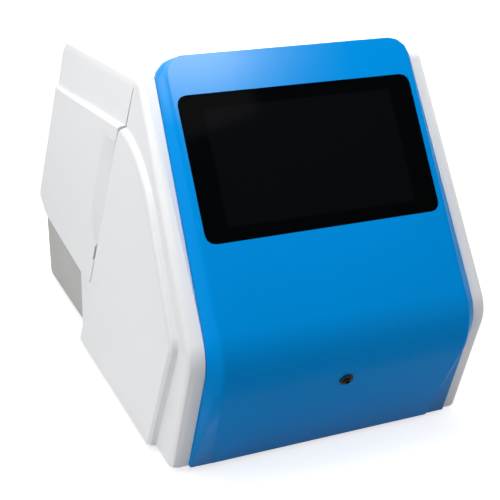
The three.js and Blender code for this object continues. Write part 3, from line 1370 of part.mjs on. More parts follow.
// Stepper motor: two end caps, a slimmer stack and a pilot; its face is at z = 0, the body below.
function makeMotor(size, length, chamfer, cap, pilotRadius, pilotHeight, shaftRadius) {
  const section = (width, cutBack) => rounded([
    [-width / 2 + cutBack, -width / 2], [width / 2 - cutBack, -width / 2],
    [width / 2, -width / 2 + cutBack], [width / 2, width / 2 - cutBack],
    [width / 2 - cutBack, width / 2], [-width / 2 + cutBack, width / 2],
    [-width / 2, width / 2 - cutBack], [-width / 2, -width / 2 + cutBack],
  ]);
  const pieces = [
    alongZ(section(size, chamfer / 2), -cap, 0),
    alongZ(section(size - GAP, chamfer), -length + cap / 2, -cap / 2),
    alongZ(section(size, chamfer / 2), -length, -length + cap),
    barZ(pilotRadius, pilotHeight + cap / 2).translate(0, 0, -cap / 2),
  ];
  const bore = barZ(shaftRadius + RUNNING_GAP, length + pilotHeight, SMALL_SIDES);
  return cut(join(...pieces), bore.translate(0, 0, -length + cap / 2));
}

function makeCellBlock() {
  const half = CELL_BLOCK_WIDTH / 2;
  const right = cellBlockLeft + CELL_BLOCK_LENGTH;
  const top = deckTop + CELL_BLOCK_HEIGHT;
  const bodyBlock = span(cellBlockLeft, right, OPTICS_Y - half, OPTICS_Y + half, deckTop + GAP, top);
  const rear = OPTICS_Y + half;
  const easing = cut(
    bodyBlock,
    span(
      cellBlockLeft - GAP, right + GAP,
      rear - CELL_BLOCK_STEP, rear + GAP,
      top - CELL_BLOCK_STEP, top + GAP,
    ),
  );
  const room = CELL_SIZE / 2 + GAP;
  const well = span(
    cellX - room, cellX + room, OPTICS_Y - room, OPTICS_Y + room, deckTop + LAMP_FLOOR, top + GAP,
  );
  const beam = barX(BEAM_RADIUS, CELL_BLOCK_LENGTH + 2 * GAP, SMALL_SIDES);
  const can = barX(DETECTOR_CAN_RADIUS + GAP, DETECTOR_CAN_LENGTH + GAP, SMALL_SIDES);
  return cut(
    easing,
    well,
    beam.translate(cellBlockLeft - GAP, OPTICS_Y, beamHeight),
    can.translate(right - DETECTOR_CAN_LENGTH, OPTICS_Y, beamHeight),
  );
}

const cellBase = deckTop + LAMP_FLOOR + GAP;
const cellTop = cellBase + CELL_HEIGHT;

function makeFlowCell() {
  const half = CELL_SIZE / 2;
  const cuvette = span(-half, half, -half, half, cellBase, cellTop);
  const capWidth = CELL_SIZE + CELL_CAP / 2;
  const cap = alongZ(rectangle(capWidth, capWidth, CELL_CAP / 4), cellTop - GAP, cellTop + CELL_CAP);
  const spots = [-1, 1].map((side) => side * CELL_NIPPLE_SPREAD);
  const nipples = spots.map((x) => barZ(CELL_NIPPLE_RADIUS, CELL_NIPPLE_HEIGHT + GAP, SMALL_SIDES)
    .translate(x, 0, cellTop + CELL_CAP - GAP));
  return join(cuvette, cap, ...nipples);
}

function makeDetectorBoard() {
  const left = cellBlockLeft + CELL_BLOCK_LENGTH + GAP;
  const middle = deckTop + GAP + DETECTOR_HEIGHT / 2;
  const outline = rectangle(DETECTOR_WIDTH, DETECTOR_HEIGHT, SHEET, OPTICS_Y, middle);
  const board = alongX(outline, left, left + BOARD_THICKNESS);
  const can = barX(DETECTOR_CAN_RADIUS, DETECTOR_CAN_LENGTH + BOARD_THICKNESS / 2, SMALL_SIDES);
  const socket = span(
    left + BOARD_THICKNESS / 2, left + BOARD_THICKNESS + SOCKET_HEIGHT,
    OPTICS_Y - CELL_SIZE, OPTICS_Y + CELL_SIZE,
    deckTop + DETECTOR_HEIGHT - SOCKET_HEIGHT - SHEET, deckTop + DETECTOR_HEIGHT - SHEET,
  );
  return join(board, can.translate(left - DETECTOR_CAN_LENGTH + GAP, OPTICS_Y, beamHeight), socket);
}

// Peristaltic pump, its axis through the origin, standing on the deck at z = 0
const tubeRing = TRACK_RADIUS - GAP - PUMP_TUBE_RADIUS;
const rollerRing = tubeRing - PUMP_TUBE_RADIUS - GAP - ROLLER_RADIUS;
const rotorLow = GAP + TRACK_BASE + 2 * RUNNING_GAP;
const rollerLow = rotorLow + ROTOR_DISC + RUNNING_GAP;
const rollerMiddle = rollerLow + ROLLER_HEIGHT / 2;
const rotorHigh = rollerLow + ROLLER_HEIGHT + RUNNING_GAP;
const rollerPlaces = Array.from({ length: ROLLER_COUNT }, (_, index) => {
  const angle = Math.PI / 2 + (2 * Math.PI * index) / ROLLER_COUNT;
  return new THREE.Vector3(rollerRing * Math.cos(angle), rollerRing * Math.sin(angle), 0);
});

function makePumpTrack() {
  const outer = TRACK_RADIUS + TRACK_WALL;
  const cup = cut(
    barZ(outer, TRACK_HEIGHT, 2 * ROUND_SIDES).translate(0, 0, GAP),
    barZ(TRACK_RADIUS, TRACK_HEIGHT, 2 * ROUND_SIDES).translate(0, 0, GAP + TRACK_BASE),
    barZ(PUMP_MOTOR_PILOT, TRACK_HEIGHT).translate(0, 0, -TRACK_BASE),
  );
  const spread = degToRad(TRACK_OPENING / 2);
  const far = 2 * outer;
  const wedge = [
    point(0, 0),
    point(far * Math.sin(spread), far * Math.cos(spread)),
    point(-far * Math.sin(spread), far * Math.cos(spread)),
  ];
  return cut(cup, alongZ(wedge, GAP + TRACK_BASE, TRACK_HEIGHT + 2 * GAP));
}

function makePumpRotor() {
  const reach = rollerRing + ROTOR_REACH;
  const arms = (low) => {
    const pieces = [barZ(ROTOR_HUB_RADIUS + ROTOR_REACH, ROTOR_DISC).translate(0, 0, low)];
    for (const place of rollerPlaces) {
      const arm = span(0, place.length(), -ROTOR_HUB_RADIUS / 2, ROTOR_HUB_RADIUS / 2, low, low + ROTOR_DISC);
      pieces.push(arm.rotateZ(Math.atan2(place.y, place.x)));
      pieces.push(barZ(reach - rollerRing + ROLLER_PIN_RADIUS, ROTOR_DISC, SMALL_SIDES)
        .translate(place.x, place.y, low));
    }
    return pieces;
  };
  const pins = rollerPlaces.map((place) => barZ(ROLLER_PIN_RADIUS, rotorHigh - rotorLow, SMALL_SIDES)
    .translate(place.x, place.y, rotorLow + ROTOR_DISC / 2));
  const hub = barZ(ROTOR_HUB_RADIUS, rotorHigh - rotorLow).translate(0, 0, rotorLow + ROTOR_DISC / 2);
  const depth = SHEET + 2 * GAP + PUMP_MOTOR_LENGTH / 2;
  const shaft = barZ(SHAFT_RADIUS, depth + rotorLow + ROTOR_DISC / 2, SMALL_SIDES).translate(0, 0, -depth);
  return join(...arms(rotorLow), ...arms(rotorHigh), ...pins, hub, shaft);
}

function makeRoller() {
  const bore = barZ(ROLLER_PIN_RADIUS + RUNNING_GAP, ROLLER_HEIGHT + 2 * GAP, SMALL_SIDES);
  const body = barZ(ROLLER_RADIUS, ROLLER_HEIGHT);
  return cut(body.translate(0, 0, rollerLow), bore.translate(0, 0, rollerLow - GAP));
}

// Boards and supply
function chip(x, y, width, length, height, base) {
  const box = block(width, length, Math.abs(height));
  return box.translate(x, y, base + height / 2);
}

// Where the main parts stand, across and back, as shares of the board.
const processorShares = [0.32, 0.58];
const memoryShares = [0.32, 0.82];
const driverShares = [0.55, 0.35];
const sinkShares = [0.75, 0.75];
const socketShares = [0.3, 0.5, 0.7];

const cableX = MAIN_BOARD_X - MAIN_BOARD_WIDTH / 2 + CABLE_INSET;

function makeMainBoard() {
  const low = SHEET + MAIN_BOARD_RISE;
  const top = low + BOARD_THICKNESS;
  const outline = rectangle(MAIN_BOARD_WIDTH, MAIN_BOARD_LENGTH, SHEET, MAIN_BOARD_X, MAIN_BOARD_Y);
  const board = alongZ(outline, low, top);
  const base = low + BOARD_THICKNESS / 2;
  const left = MAIN_BOARD_X - MAIN_BOARD_WIDTH / 2;
  const front = MAIN_BOARD_Y - MAIN_BOARD_LENGTH / 2;
  const [width, length] = [MAIN_BOARD_WIDTH, MAIN_BOARD_LENGTH];
  const at = ([across, back]) => [left + width * across, front + length * back];
  const small = CHIP_SIDE / 2;
  const processor = chip(...at(processorShares), CHIP_SIDE, CHIP_SIDE, CHIP_HEIGHT, base);
  const memory = chip(...at(memoryShares), CHIP_SIDE, small, CHIP_HEIGHT, base);
  const driver = chip(...at(driverShares), small, small, CHIP_HEIGHT, base);
  const sink = chip(...at(sinkShares), CHIP_SIDE, CHIP_SIDE, HEAT_SINK_HEIGHT, base);
  const [sinkX, sinkY] = at(sinkShares);
  const grooves = [-1, 0, 1].map((step) => chip(
    sinkX + (step * CHIP_SIDE) / 4, sinkY,
    CHIP_SIDE / 8, CHIP_SIDE + SHEET,
    HEAT_SINK_HEIGHT, base + CHIP_HEIGHT,
  ));
  const sockets = socketShares.map((share) => chip(
    left + width - SOCKET_WIDTH, front + length * share, SOCKET_WIDTH, small, SOCKET_HEIGHT, base,
  ));
  const plug = chip(cableX, front + SOCKET_WIDTH, CABLE_WIDTH + SHEET, SOCKET_WIDTH, SOCKET_HEIGHT, base);
  return cut(join(board, processor, memory, driver, sink, plug, ...sockets), ...grooves);
}

function makePowerSupply() {
  const [width, length] = [SUPPLY_WIDTH, SUPPLY_LENGTH];
  const [left, front] = [SUPPLY_X - width / 2, SUPPLY_Y - length / 2];
  const low = SHEET + GAP;
  const top = low + SUPPLY_HEIGHT;
  const shell = cut(
    span(left, left + width, front, front + length, low, top),
    span(left + SHEET, left + width - SHEET, front + FLANGE, front + length + GAP, low + SHEET, top - SHEET),
  );
  const slots = [];
  for (let slot = 0; slot < SUPPLY_SLOTS; slot += 1) {
    const y = front + FLANGE + ((slot + 1) * (length - FLANGE)) / (SUPPLY_SLOTS + 1);
    const outline = rectangle(SLOT_LENGTH, SLOT_WIDTH, SLOT_WIDTH / 3, SUPPLY_X, y, 1);
    slots.push(alongZ(outline, top - 2 * SHEET, top + GAP));
  }
  const terminals = span(
    left + SHEET / 2, left + width - SHEET / 2,
    front + length - FLANGE, front + length - SHEET,
    low + SHEET / 2, low + SUPPLY_HEIGHT / 2,
  );
  return join(cut(shell, ...slots), terminals);
}

// Mains lead: insulating boots on the inlet and the switch, then a sheathed run to the supply.
function makePowerLead() {
  const boot = (x, y, z, width, height) => alongY(
    rectangle(width, height, SHEET, x, z), y - LEAD_BOOT / 2, y + LEAD_BOOT / 2,
  );
  const behind = (depth) => CHASSIS_REAR - depth - GAP - LEAD_BOOT / 2;
  const inlet = new THREE.Vector3(INLET_X, behind(INLET_BODY_DEPTH), INLET_HEIGHT);
  const toggle = new THREE.Vector3(SWITCH_X, behind(SWITCH_BODY_DEPTH), INLET_HEIGHT);
  const plug = new THREE.Vector3(
    SUPPLY_X + SUPPLY_WIDTH / 2 - FLANGE,
    SUPPLY_Y + SUPPLY_LENGTH / 2 - SHEET + GAP + LEAD_BOOT / 2,
    SHEET + SUPPLY_HEIGHT / 3,
  );
  const leave = inlet.clone();
  leave.x += INLET_SOCKET_WIDTH / 2 - SHEET;
  const sag = leave.clone().lerp(toggle, 1 / 2);
  sag.y = inlet.y - SHEET;
  sag.z -= LEAD_SAG;
  const turn = new THREE.Vector3(toggle.x, toggle.y, plug.z + 2 * LEAD_SAG);
  const cross = tube([leave, sag, toggle], LEAD_RADIUS, LEAD_STEPS);
  const drop = tube([
    toggle,
    turn,
    new THREE.Vector3(toggle.x - 2 * LEAD_SAG, toggle.y - LEAD_SAG / 2, plug.z + LEAD_SAG / 2),
    new THREE.Vector3(plug.x + 2 * LEAD_SAG, plug.y + LEAD_SAG / 2, plug.z),
    plug,
  ], LEAD_RADIUS, LEAD_STEPS);
  return join(
    boot(inlet.x, inlet.y, inlet.z, INLET_SOCKET_WIDTH, INLET_SOCKET_HEIGHT),
    boot(toggle.x, toggle.y, toggle.z, wellWidth, wellHeight),
    boot(plug.x, plug.y, plug.z, FLANGE, FLANGE),
    cross,
    drop,
  );
}

// Display, built in the frame of the face
const displayBack = -GLASS_RECESS - GLASS_THICKNESS - GAP - LCD_THICKNESS - GAP;
const driverFront = displayBack - FRAME_THICKNESS - STANDOFF_LENGTH;
const standoffs = [-1, 1].flatMap((side) => [-1, 1].map((end) => point(
  side * (DRIVER_WIDTH / 2 - POST_INSET),
  end * (DRIVER_HEIGHT / 2 - POST_INSET),
)));
const glassWidth = WINDOW_WIDTH + 2 * GLASS_LAP;
const glassHeight = WINDOW_HEIGHT + 2 * GLASS_LAP;

const makeGlass = () => alongZ(
  rectangle(glassWidth, glassHeight, WINDOW_CORNER),
  -GLASS_RECESS - GLASS_THICKNESS,
  -GLASS_RECESS,
);

const makeDisplayPanel = () => alongZ(
  rectangle(WINDOW_WIDTH - 2 * LCD_MARGIN, WINDOW_HEIGHT - 2 * LCD_MARGIN, LCD_MARGIN),
  displayBack + GAP,
  displayBack + GAP + LCD_THICKNESS,
);

function makeDisplayBracket() {
  const outer = rectangle(glassWidth, glassHeight, WINDOW_CORNER);
  const inner = rectangle(WINDOW_WIDTH - 2 * FRAME_BAND, WINDOW_HEIGHT - 2 * FRAME_BAND, LCD_MARGIN);
  const low = displayBack - FRAME_THICKNESS;
  const frame = cut(
    alongZ(outer, low, displayBack),
    alongZ(inner, low - GAP, displayBack + GAP),
  );
  const bars = [-1, 1].map((side) => {
    const x = side * (DRIVER_WIDTH / 2 - POST_INSET);
    const reach = glassHeight / 2 - FRAME_BAND;
    return span(x - FRAME_BAND / 2, x + FRAME_BAND / 2, -reach, reach, low, displayBack);
  });
  const posts = standoffs.map(({ x, y }) => barZ(STANDOFF_RADIUS, STANDOFF_LENGTH, SMALL_SIDES)
    .translate(x, y, low - STANDOFF_LENGTH + GAP));
  const bores = standoffs.map(({ x, y }) => barZ(STANDOFF_BORE, STANDOFF_LENGTH, SMALL_SIDES)
    .translate(x, y, low - STANDOFF_LENGTH));
  return cut(join(frame, ...bars, ...posts), ...bores);
}

function makeDisplayBoard() {
  const low = driverFront - BOARD_THICKNESS;
  const board = alongZ(rectangle(DRIVER_WIDTH, DRIVER_HEIGHT, SHEET), low, driverFront);
  const base = driverFront - BOARD_THICKNESS / 2;
  const parts = [
    chip(0, 0, CHIP_SIDE, CHIP_SIDE, -CHIP_HEIGHT, base),
    chip(DRIVER_WIDTH / 4, 0, CHIP_SIDE / 2, CHIP_SIDE, -CHIP_HEIGHT, base),
    chip(
      cableX, SOCKET_WIDTH - DRIVER_HEIGHT / 2,
      CABLE_WIDTH + SHEET, SOCKET_WIDTH,
      -SOCKET_WIDTH / 2, base,
    ),
  ];
  const bore = barZ(STANDOFF_BORE, 2 * OVERRUN, SMALL_SIDES);
  const holes = standoffs.map(({ x, y }) => bore.clone().translate(x, y, -2 * OVERRUN));
  return cut(join(board, ...parts), ...holes);
}

// Flat ribbon across X that follows points of the side view
function ribbon(points, left, right, thickness, steps) {
  const flat = points.map(({ x, y }) => new THREE.Vector3(x, y, 0));
  const path = new THREE.CatmullRomCurve3(flat, false, 'centripetal');
  const rows = Array.from({ length: steps + 1 }, (_, step) => {
    const share = step / steps;
    const along = path.getTangent(share);
    const normal = point(-along.y, along.x).multiplyScalar(thickness / 2);
    const middle = path.getPoint(share);
    return [point(middle.x + normal.x, middle.y + normal.y), point(middle.x - normal.x, middle.y - normal.y)];
  });
  const over = rows.map(([first]) => first);
  const under = rows.map(([, second]) => second).reverse();
  return alongX([...over, ...under], left, right);
}

function makeDisplayCable() {
  const behind = driverFront - BOARD_THICKNESS - 2 * CABLE_THICKNESS;
  const start = windowMiddle.clone()
    .addScaledVector(faceUp, -DRIVER_HEIGHT / 2 + SOCKET_WIDTH / 2 - GAP)
    .addScaledVector(faceOut, behind);
  const plugTop = SHEET + MAIN_BOARD_RISE + BOARD_THICKNESS / 2 + SOCKET_HEIGHT + GAP;
  const end = point(MAIN_BOARD_Y - MAIN_BOARD_LENGTH / 2 + SOCKET_WIDTH, plugTop);
  const clear = DECK_FRONT - FLANGE;
  const points = [
    start,
    start.clone().addScaledVector(faceUp, -OVERRUN),
    point(clear - OVERRUN, deckTop + FLANGE),
    point(clear, deckTop - OVERRUN),
    point(end.x, plugTop + OVERRUN),
    end,
  ];
  return ribbon(points, cableX - CABLE_WIDTH / 2, cableX + CABLE_WIDTH / 2, CABLE_THICKNESS, CABLE_STEPS);
}

// Sample port, its axis on +Z of the low face
function makeGrommet() {
  const lip = [
    [0, GAP],
    [GROMMET_FLANGE_RADIUS, GAP],
    [GROMMET_FLANGE_RADIUS, GAP + GROMMET_FLANGE_HEIGHT / 2],
    [GROMMET_FLANGE_RADIUS - GROMMET_FLANGE_HEIGHT / 2, GAP + GROMMET_FLANGE_HEIGHT],
    [0, GAP + GROMMET_FLANGE_HEIGHT],
  ];
  const back = FASCIA_WALL + GAP;
  const barb = barZ(GROMMET_NECK_RADIUS, GROMMET_FLANGE_HEIGHT, ROUND_SIDES, GROMMET_FLANGE_RADIUS);
  const neck = barZ(GROMMET_NECK_RADIUS, back + 2 * GAP).translate(0, 0, -back);
  const bore = barZ(FERRULE_RADIUS + GAP, 2 * OVERRUN, ROUND_SIDES).translate(0, 0, -OVERRUN);
  return cut(join(turned(lip), neck, barb.translate(0, 0, -back - GROMMET_FLANGE_HEIGHT)), bore);
}

function makeFerrule() {
  const face = 2 * GAP + GROMMET_FLANGE_HEIGHT;
  return cut(
    join(
      barZ(FERRULE_FLANGE_RADIUS, FERRULE_HEAD, ROUND_SIDES, FERRULE_RADIUS).translate(0, 0, face),
      barZ(FERRULE_RADIUS, FERRULE_LENGTH + face + GAP, ROUND_SIDES).translate(0, 0, -FERRULE_LENGTH),
    ),
    barZ(FERRULE_BORE, 2 * OVERRUN, SMALL_SIDES).translate(0, 0, -OVERRUN),
  );
}

const nippleTop = cellTop + CELL_CAP + CELL_NIPPLE_HEIGHT + GAP;

function makeAspirationTube() {
  const start = portMiddle.clone().addScaledVector(lowOut, -FERRULE_LENGTH - GAP);
  const next = start.clone().addScaledVector(lowOut, -FLANGE);
  const x = cellX - CELL_NIPPLE_SPREAD;
  const rise = nippleTop - deckTop;
  const run = OPTICS_Y - DECK_FRONT;
  return tube([
    new THREE.Vector3(0, start.x, start.y),
    new THREE.Vector3(0, next.x, next.y),
    new THREE.Vector3(x / 4, DECK_FRONT - 2 * OVERRUN, deckTop + FLANGE),
    new THREE.Vector3(x / 3, DECK_FRONT, deckTop + rise / 4),
    new THREE.Vector3(x / 2, DECK_FRONT + run / 3, deckTop + rise / 3),
    new THREE.Vector3(x, DECK_FRONT + run * TUBE_REACH_SHARE, nippleTop + CELL_NIPPLE_HEIGHT),
    new THREE.Vector3(x, OPTICS_Y, nippleTop + CELL_NIPPLE_HEIGHT),
    new THREE.Vector3(x, OPTICS_Y, nippleTop),
  ], SAMPLE_TUBE_RADIUS, TUBE_STEPS);
}

function makePumpTube() {
  const x = cellX + CELL_NIPPLE_SPREAD;
  const level = deckTop + rollerMiddle;
  const first = Math.PI / 2 + degToRad(TRACK_OPENING / 2);
  const last = first + 2 * Math.PI - degToRad(TRACK_OPENING);
  const ring = Array.from({ length: TUBE_RING_POINTS + 1 }, (_, index) => {
    const angle = first + ((last - first) * index) / TUBE_RING_POINTS;
    return new THREE.Vector3(
      PUMP_X + tubeRing * Math.cos(angle),
      PUMP_Y + tubeRing * Math.sin(angle),
      level,
    );
  });
  const inDirection = new THREE.Vector3(Math.sin(first), -Math.cos(first), 0);
  const outDirection = new THREE.Vector3(-Math.sin(last), Math.cos(last), 0);
  const stemEnd = CHASSIS_REAR - WASTE_STEM_DEPTH - GAP;
  return tube([
    new THREE.Vector3(x, OPTICS_Y, nippleTop),
    new THREE.Vector3(x, OPTICS_Y, nippleTop + CELL_NIPPLE_HEIGHT),
    new THREE.Vector3(x + FLANGE, OPTICS_Y - FLANGE, nippleTop),
    ring[0].clone().addScaledVector(inDirection, FLANGE),
    ...ring,
    ring[TUBE_RING_POINTS].clone().addScaledVector(outDirection, FLANGE),
    new THREE.Vector3(DRAIN_X, PUMP_Y + 2 * TRACK_RADIUS, level),
    new THREE.Vector3(DRAIN_X, drainY - OVERRUN, level),
    new THREE.Vector3(DRAIN_X, drainY, deckTop),
    new THREE.Vector3(DRAIN_X, drainY, DECK_HEIGHT - OVERRUN),
    new THREE.Vector3(WASTE_X, stemEnd - OVERRUN, WASTE_HEIGHT + FLANGE),
    new THREE.Vector3(WASTE_X, stemEnd - FLANGE / 2, WASTE_HEIGHT),
    new THREE.Vector3(WASTE_X, stemEnd, WASTE_HEIGHT),
  ], PUMP_TUBE_RADIUS, 2 * TUBE_STEPS);
}

// Casing
add('front_housing', makeFrontHousing(), FINISH.white);
add('front_fascia', makeFascia(), FINISH.blue);
add('rear_cover', makeCover(), FINISH.white);

// Display
const display = onFace(windowMiddle, faceOut);
add('display_glass', makeGlass(), FINISH.glass, display);
add('display_panel', makeDisplayPanel(), FINISH.black, display);
add('display_bracket', makeDisplayBracket(), FINISH.steel, display);
add('display_board', makeDisplayBoard(), FINISH.board, display);
add('display_cable', makeDisplayCable(), FINISH.nylon);

// Sample port
const port = onFace(portMiddle, lowOut);
add('sipper_grommet', makeGrommet(), FINISH.rubber, port);
add('sipper_ferrule', makeFerrule(), FINISH.steel, port);
add('aspiration_tube', makeAspirationTube(), FINISH.silicone);

// Chassis
add('base_chassis', makeChassis(), FINISH.sheet);
feetPlaces.forEach((place, index) => {
  add(`foot_${index + 1}`, makeFoot(), FINISH.rubber).position.copy(place);
});
add('deck_plate', makeDeck(), FINISH.steel);
add('rear_panel', makeRearPanel(), FINISH.sheet);

// Rear fittings
const onPanel = (x, z) => new THREE.Vector3(x, CHASSIS_REAR, z);
add('fan_frame', makeFanFrame(), FINISH.black).position.copy(fanMiddle);
add('fan_rotor', makeFanRotor(), FINISH.black).position.copy(fanMiddle);
add('fan_guard', makeFanGuard(), FINISH.steel).position.copy(onPanel(FAN_X, FAN_HEIGHT)).y += GAP;
add('power_inlet', makeInlet(), FINISH.black).position.copy(onPanel(INLET_X, INLET_HEIGHT));
add('switch_housing', makeSwitchHousing(), FINISH.black).position.copy(onPanel(SWITCH_X, INLET_HEIGHT));
add('power_rocker', makeRocker(), FINISH.black).position.copy(onPanel(SWITCH_X, INLET_HEIGHT));
add('usb_port', makeUsbPort(), FINISH.steel).position.copy(onPanel(USB_X, INLET_HEIGHT));
add('waste_fitting', makeWasteFitting(), FINISH.nylon).position.copy(onPanel(WASTE_X, WASTE_HEIGHT));

// Hinges of the rear cover
for (const [name, side] of [['left', -1], ['right', 1]]) {
  const place = new THREE.Vector3(side * (HALF_WIDTH - HINGE_INSET), hingeAxis.x, hingeAxis.y);
  const open = Math.PI + degToRad(COVER_REAR_LEAN);
  const pin = barX(HINGE_PIN_RADIUS, HINGE_LENGTH - 2 * GAP, SMALL_SIDES);
  pin.translate(GAP - HINGE_LENGTH / 2, 0, 0);
  add(`hinge_fixed_leaf_${name}`, makeLeaf(0, 0), FINISH.steel).position.copy(place);
  add(`hinge_moving_leaf_${name}`, makeLeaf(1, open), FINISH.steel).position.copy(place);
  add(`hinge_pin_${name}`, pin, FINISH.steel).position.copy(place);
}

// Photometer
const lampPlace = new THREE.Vector3(LAMP_X, OPTICS_Y, deckTop);
add('lamp_housing', makeLampHousing(), FINISH.aluminium).position.copy(lampPlace);
add('lamp', makeLamp(), FINISH.optical).position.copy(lampPlace);
const lensPlace = new THREE.Vector3(LENS_X, OPTICS_Y, deckTop);
add('lens_barrel', makeLensBarrel(), FINISH.black).position.copy(lensPlace);
add('lens', makeLens(), FINISH.optical).position.copy(lensPlace);
const wheelPlace = new THREE.Vector3(WHEEL_X - WHEEL_THICKNESS / 2, OPTICS_Y, wheelHeight);
add('filter_wheel', makeFilterWheel(), FINISH.aluminium).position.copy(wheelPlace);
filterPlaces.forEach((place, index) => {
  add(`filter_${index + 1}`, makeFilter(), FINISH.optical).position.copy(wheelPlace).add(place);
});
add('wheel_bracket', makeWheelBracket(), FINISH.sheet);
const wheelMotor = makeMotor(
  MOTOR_SIZE, MOTOR_LENGTH, MOTOR_CHAMFER, MOTOR_CAP, MOTOR_PILOT_RADIUS, SHEET, SHAFT_RADIUS,
).rotateY(-Math.PI / 2);
add('wheel_motor', wheelMotor, FINISH.black).position.set(bracketRight + GAP, OPTICS_Y, wheelHeight);
add('flow_cell_block', makeCellBlock(), FINISH.aluminium);
add('flow_cell', makeFlowCell(), FINISH.optical).position.set(cellX, OPTICS_Y, 0);
add('detector_board', makeDetectorBoard(), FINISH.board);

// Pump
const pumpPlace = new THREE.Vector3(PUMP_X, PUMP_Y, deckTop);
const pumpMotor = makeMotor(
  PUMP_MOTOR_SIZE, PUMP_MOTOR_LENGTH, PUMP_MOTOR_CHAMFER, MOTOR_CAP, PUMP_MOTOR_PILOT, SHEET, SHAFT_RADIUS,
);
add('pump_motor', pumpMotor, FINISH.black).position.copy(pumpPlace).z -= SHEET + GAP;
add('pump_track', makePumpTrack(), FINISH.nylon).position.copy(pumpPlace);
add('pump_rotor', makePumpRotor(), FINISH.black).position.copy(pumpPlace);
rollerPlaces.forEach((place, index) => {
  add(`pump_roller_${index + 1}`, makeRoller(), FINISH.nylon).position.copy(pumpPlace).add(place);
});
add('pump_tube', makePumpTube(), FINISH.silicone);

// Electronics
add('main_board', makeMainBoard(), FINISH.board);
add('power_supply', makePowerSupply(), FINISH.steel);
add('power_lead', makePowerLead(), FINISH.black);

// The origin goes on the table, under the middle of the footprint.
const extent = new THREE.Box3().setFromObject(analyzer);
const middle = extent.getCenter(new THREE.Vector3());
body.position.set(0, -middle.y, -extent.min.z);
analyzer.updateMatrixWorld(true);

export default analyzer;
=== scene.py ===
"""Looks of a compact benchtop chemistry analyzer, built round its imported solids.

The solids give every place and size. Here each moulded, folded, machined or printed piece gets
eased edges and its own finish, and the screws, contacts, leads and small board parts are added.
Lengths are in metres, +Z is up and the display faces -Y.
"""

import json
import logging
import math
from dataclasses import dataclass, field
from enum import Enum
from functools import cached_property
from typing import Iterable, Optional, Sequence

import bmesh
import bpy
from mathutils import Matrix, Vector

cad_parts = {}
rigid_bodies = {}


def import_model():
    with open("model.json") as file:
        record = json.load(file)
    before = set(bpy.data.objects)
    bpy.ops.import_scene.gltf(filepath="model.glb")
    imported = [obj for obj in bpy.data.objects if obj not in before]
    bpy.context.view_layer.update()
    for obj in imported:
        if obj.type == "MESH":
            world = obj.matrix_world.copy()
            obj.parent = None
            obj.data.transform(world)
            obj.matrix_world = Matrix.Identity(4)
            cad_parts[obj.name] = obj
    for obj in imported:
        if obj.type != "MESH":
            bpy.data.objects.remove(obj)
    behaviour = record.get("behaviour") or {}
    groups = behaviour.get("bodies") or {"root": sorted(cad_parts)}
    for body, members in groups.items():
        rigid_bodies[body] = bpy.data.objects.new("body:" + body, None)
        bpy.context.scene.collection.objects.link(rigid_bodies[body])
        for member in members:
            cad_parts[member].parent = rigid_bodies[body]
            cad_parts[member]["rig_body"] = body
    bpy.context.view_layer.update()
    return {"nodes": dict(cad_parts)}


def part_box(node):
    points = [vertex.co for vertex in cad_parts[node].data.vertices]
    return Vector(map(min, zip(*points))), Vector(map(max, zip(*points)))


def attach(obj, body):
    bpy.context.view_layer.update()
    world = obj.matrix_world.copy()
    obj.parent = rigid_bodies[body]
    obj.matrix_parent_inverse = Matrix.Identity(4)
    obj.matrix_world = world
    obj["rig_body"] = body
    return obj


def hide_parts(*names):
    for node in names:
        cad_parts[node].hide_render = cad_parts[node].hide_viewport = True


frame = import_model()

log = logging.getLogger("analyzer")

Rgb = tuple[float, float, float]
Place = tuple[float, float, float]
Inputs = dict[str, object]
Node = bpy.types.Node
Socket = bpy.types.NodeSocket
Piece = bpy.types.Object
Mesh = bmesh.types.BMesh
Edge = bmesh.types.BMEdge

MM = 0.001
WELD = 0.01 * MM
FLAT = math.radians(1.0)
FIRST_TURN = 0.3
NEXT_TURN = 0.9
FULL_TURN = 2 * math.pi
UP = Vector((0.0, 0.0, 1.0))
BACK = Vector((0.0, 1.0, 0.0))
WHITE_LIGHT = (1.0, 1.0, 1.0)
EDGE_LAYER = "eased_edge"


def linear(level: int) -> float:
    """Turns a channel as a screen shows it, 0 to 255, into linear light."""
    share = level / 255
    return share / 12.92 if share <= 0.04045 else ((share + 0.055) / 1.055) ** 2.4


def srgb(red: int, green: int, blue: int) -> Rgb:
    """Turns a colour as a screen shows it into linear light."""
    return (linear(red), linear(green), linear(blue))


def toned(color: Rgb, share: float, lift: float = 0.0) -> Rgb:
    """Gives a colour with its channels scaled and then lifted, at most to full."""
    return tuple(min(1.0, channel * share + lift) for channel in color)


def at(x: float, y: float, z: float) -> Vector:
    """Gives a place from millimetres."""
    return Vector((x, y, z)) * MM


# Shader building


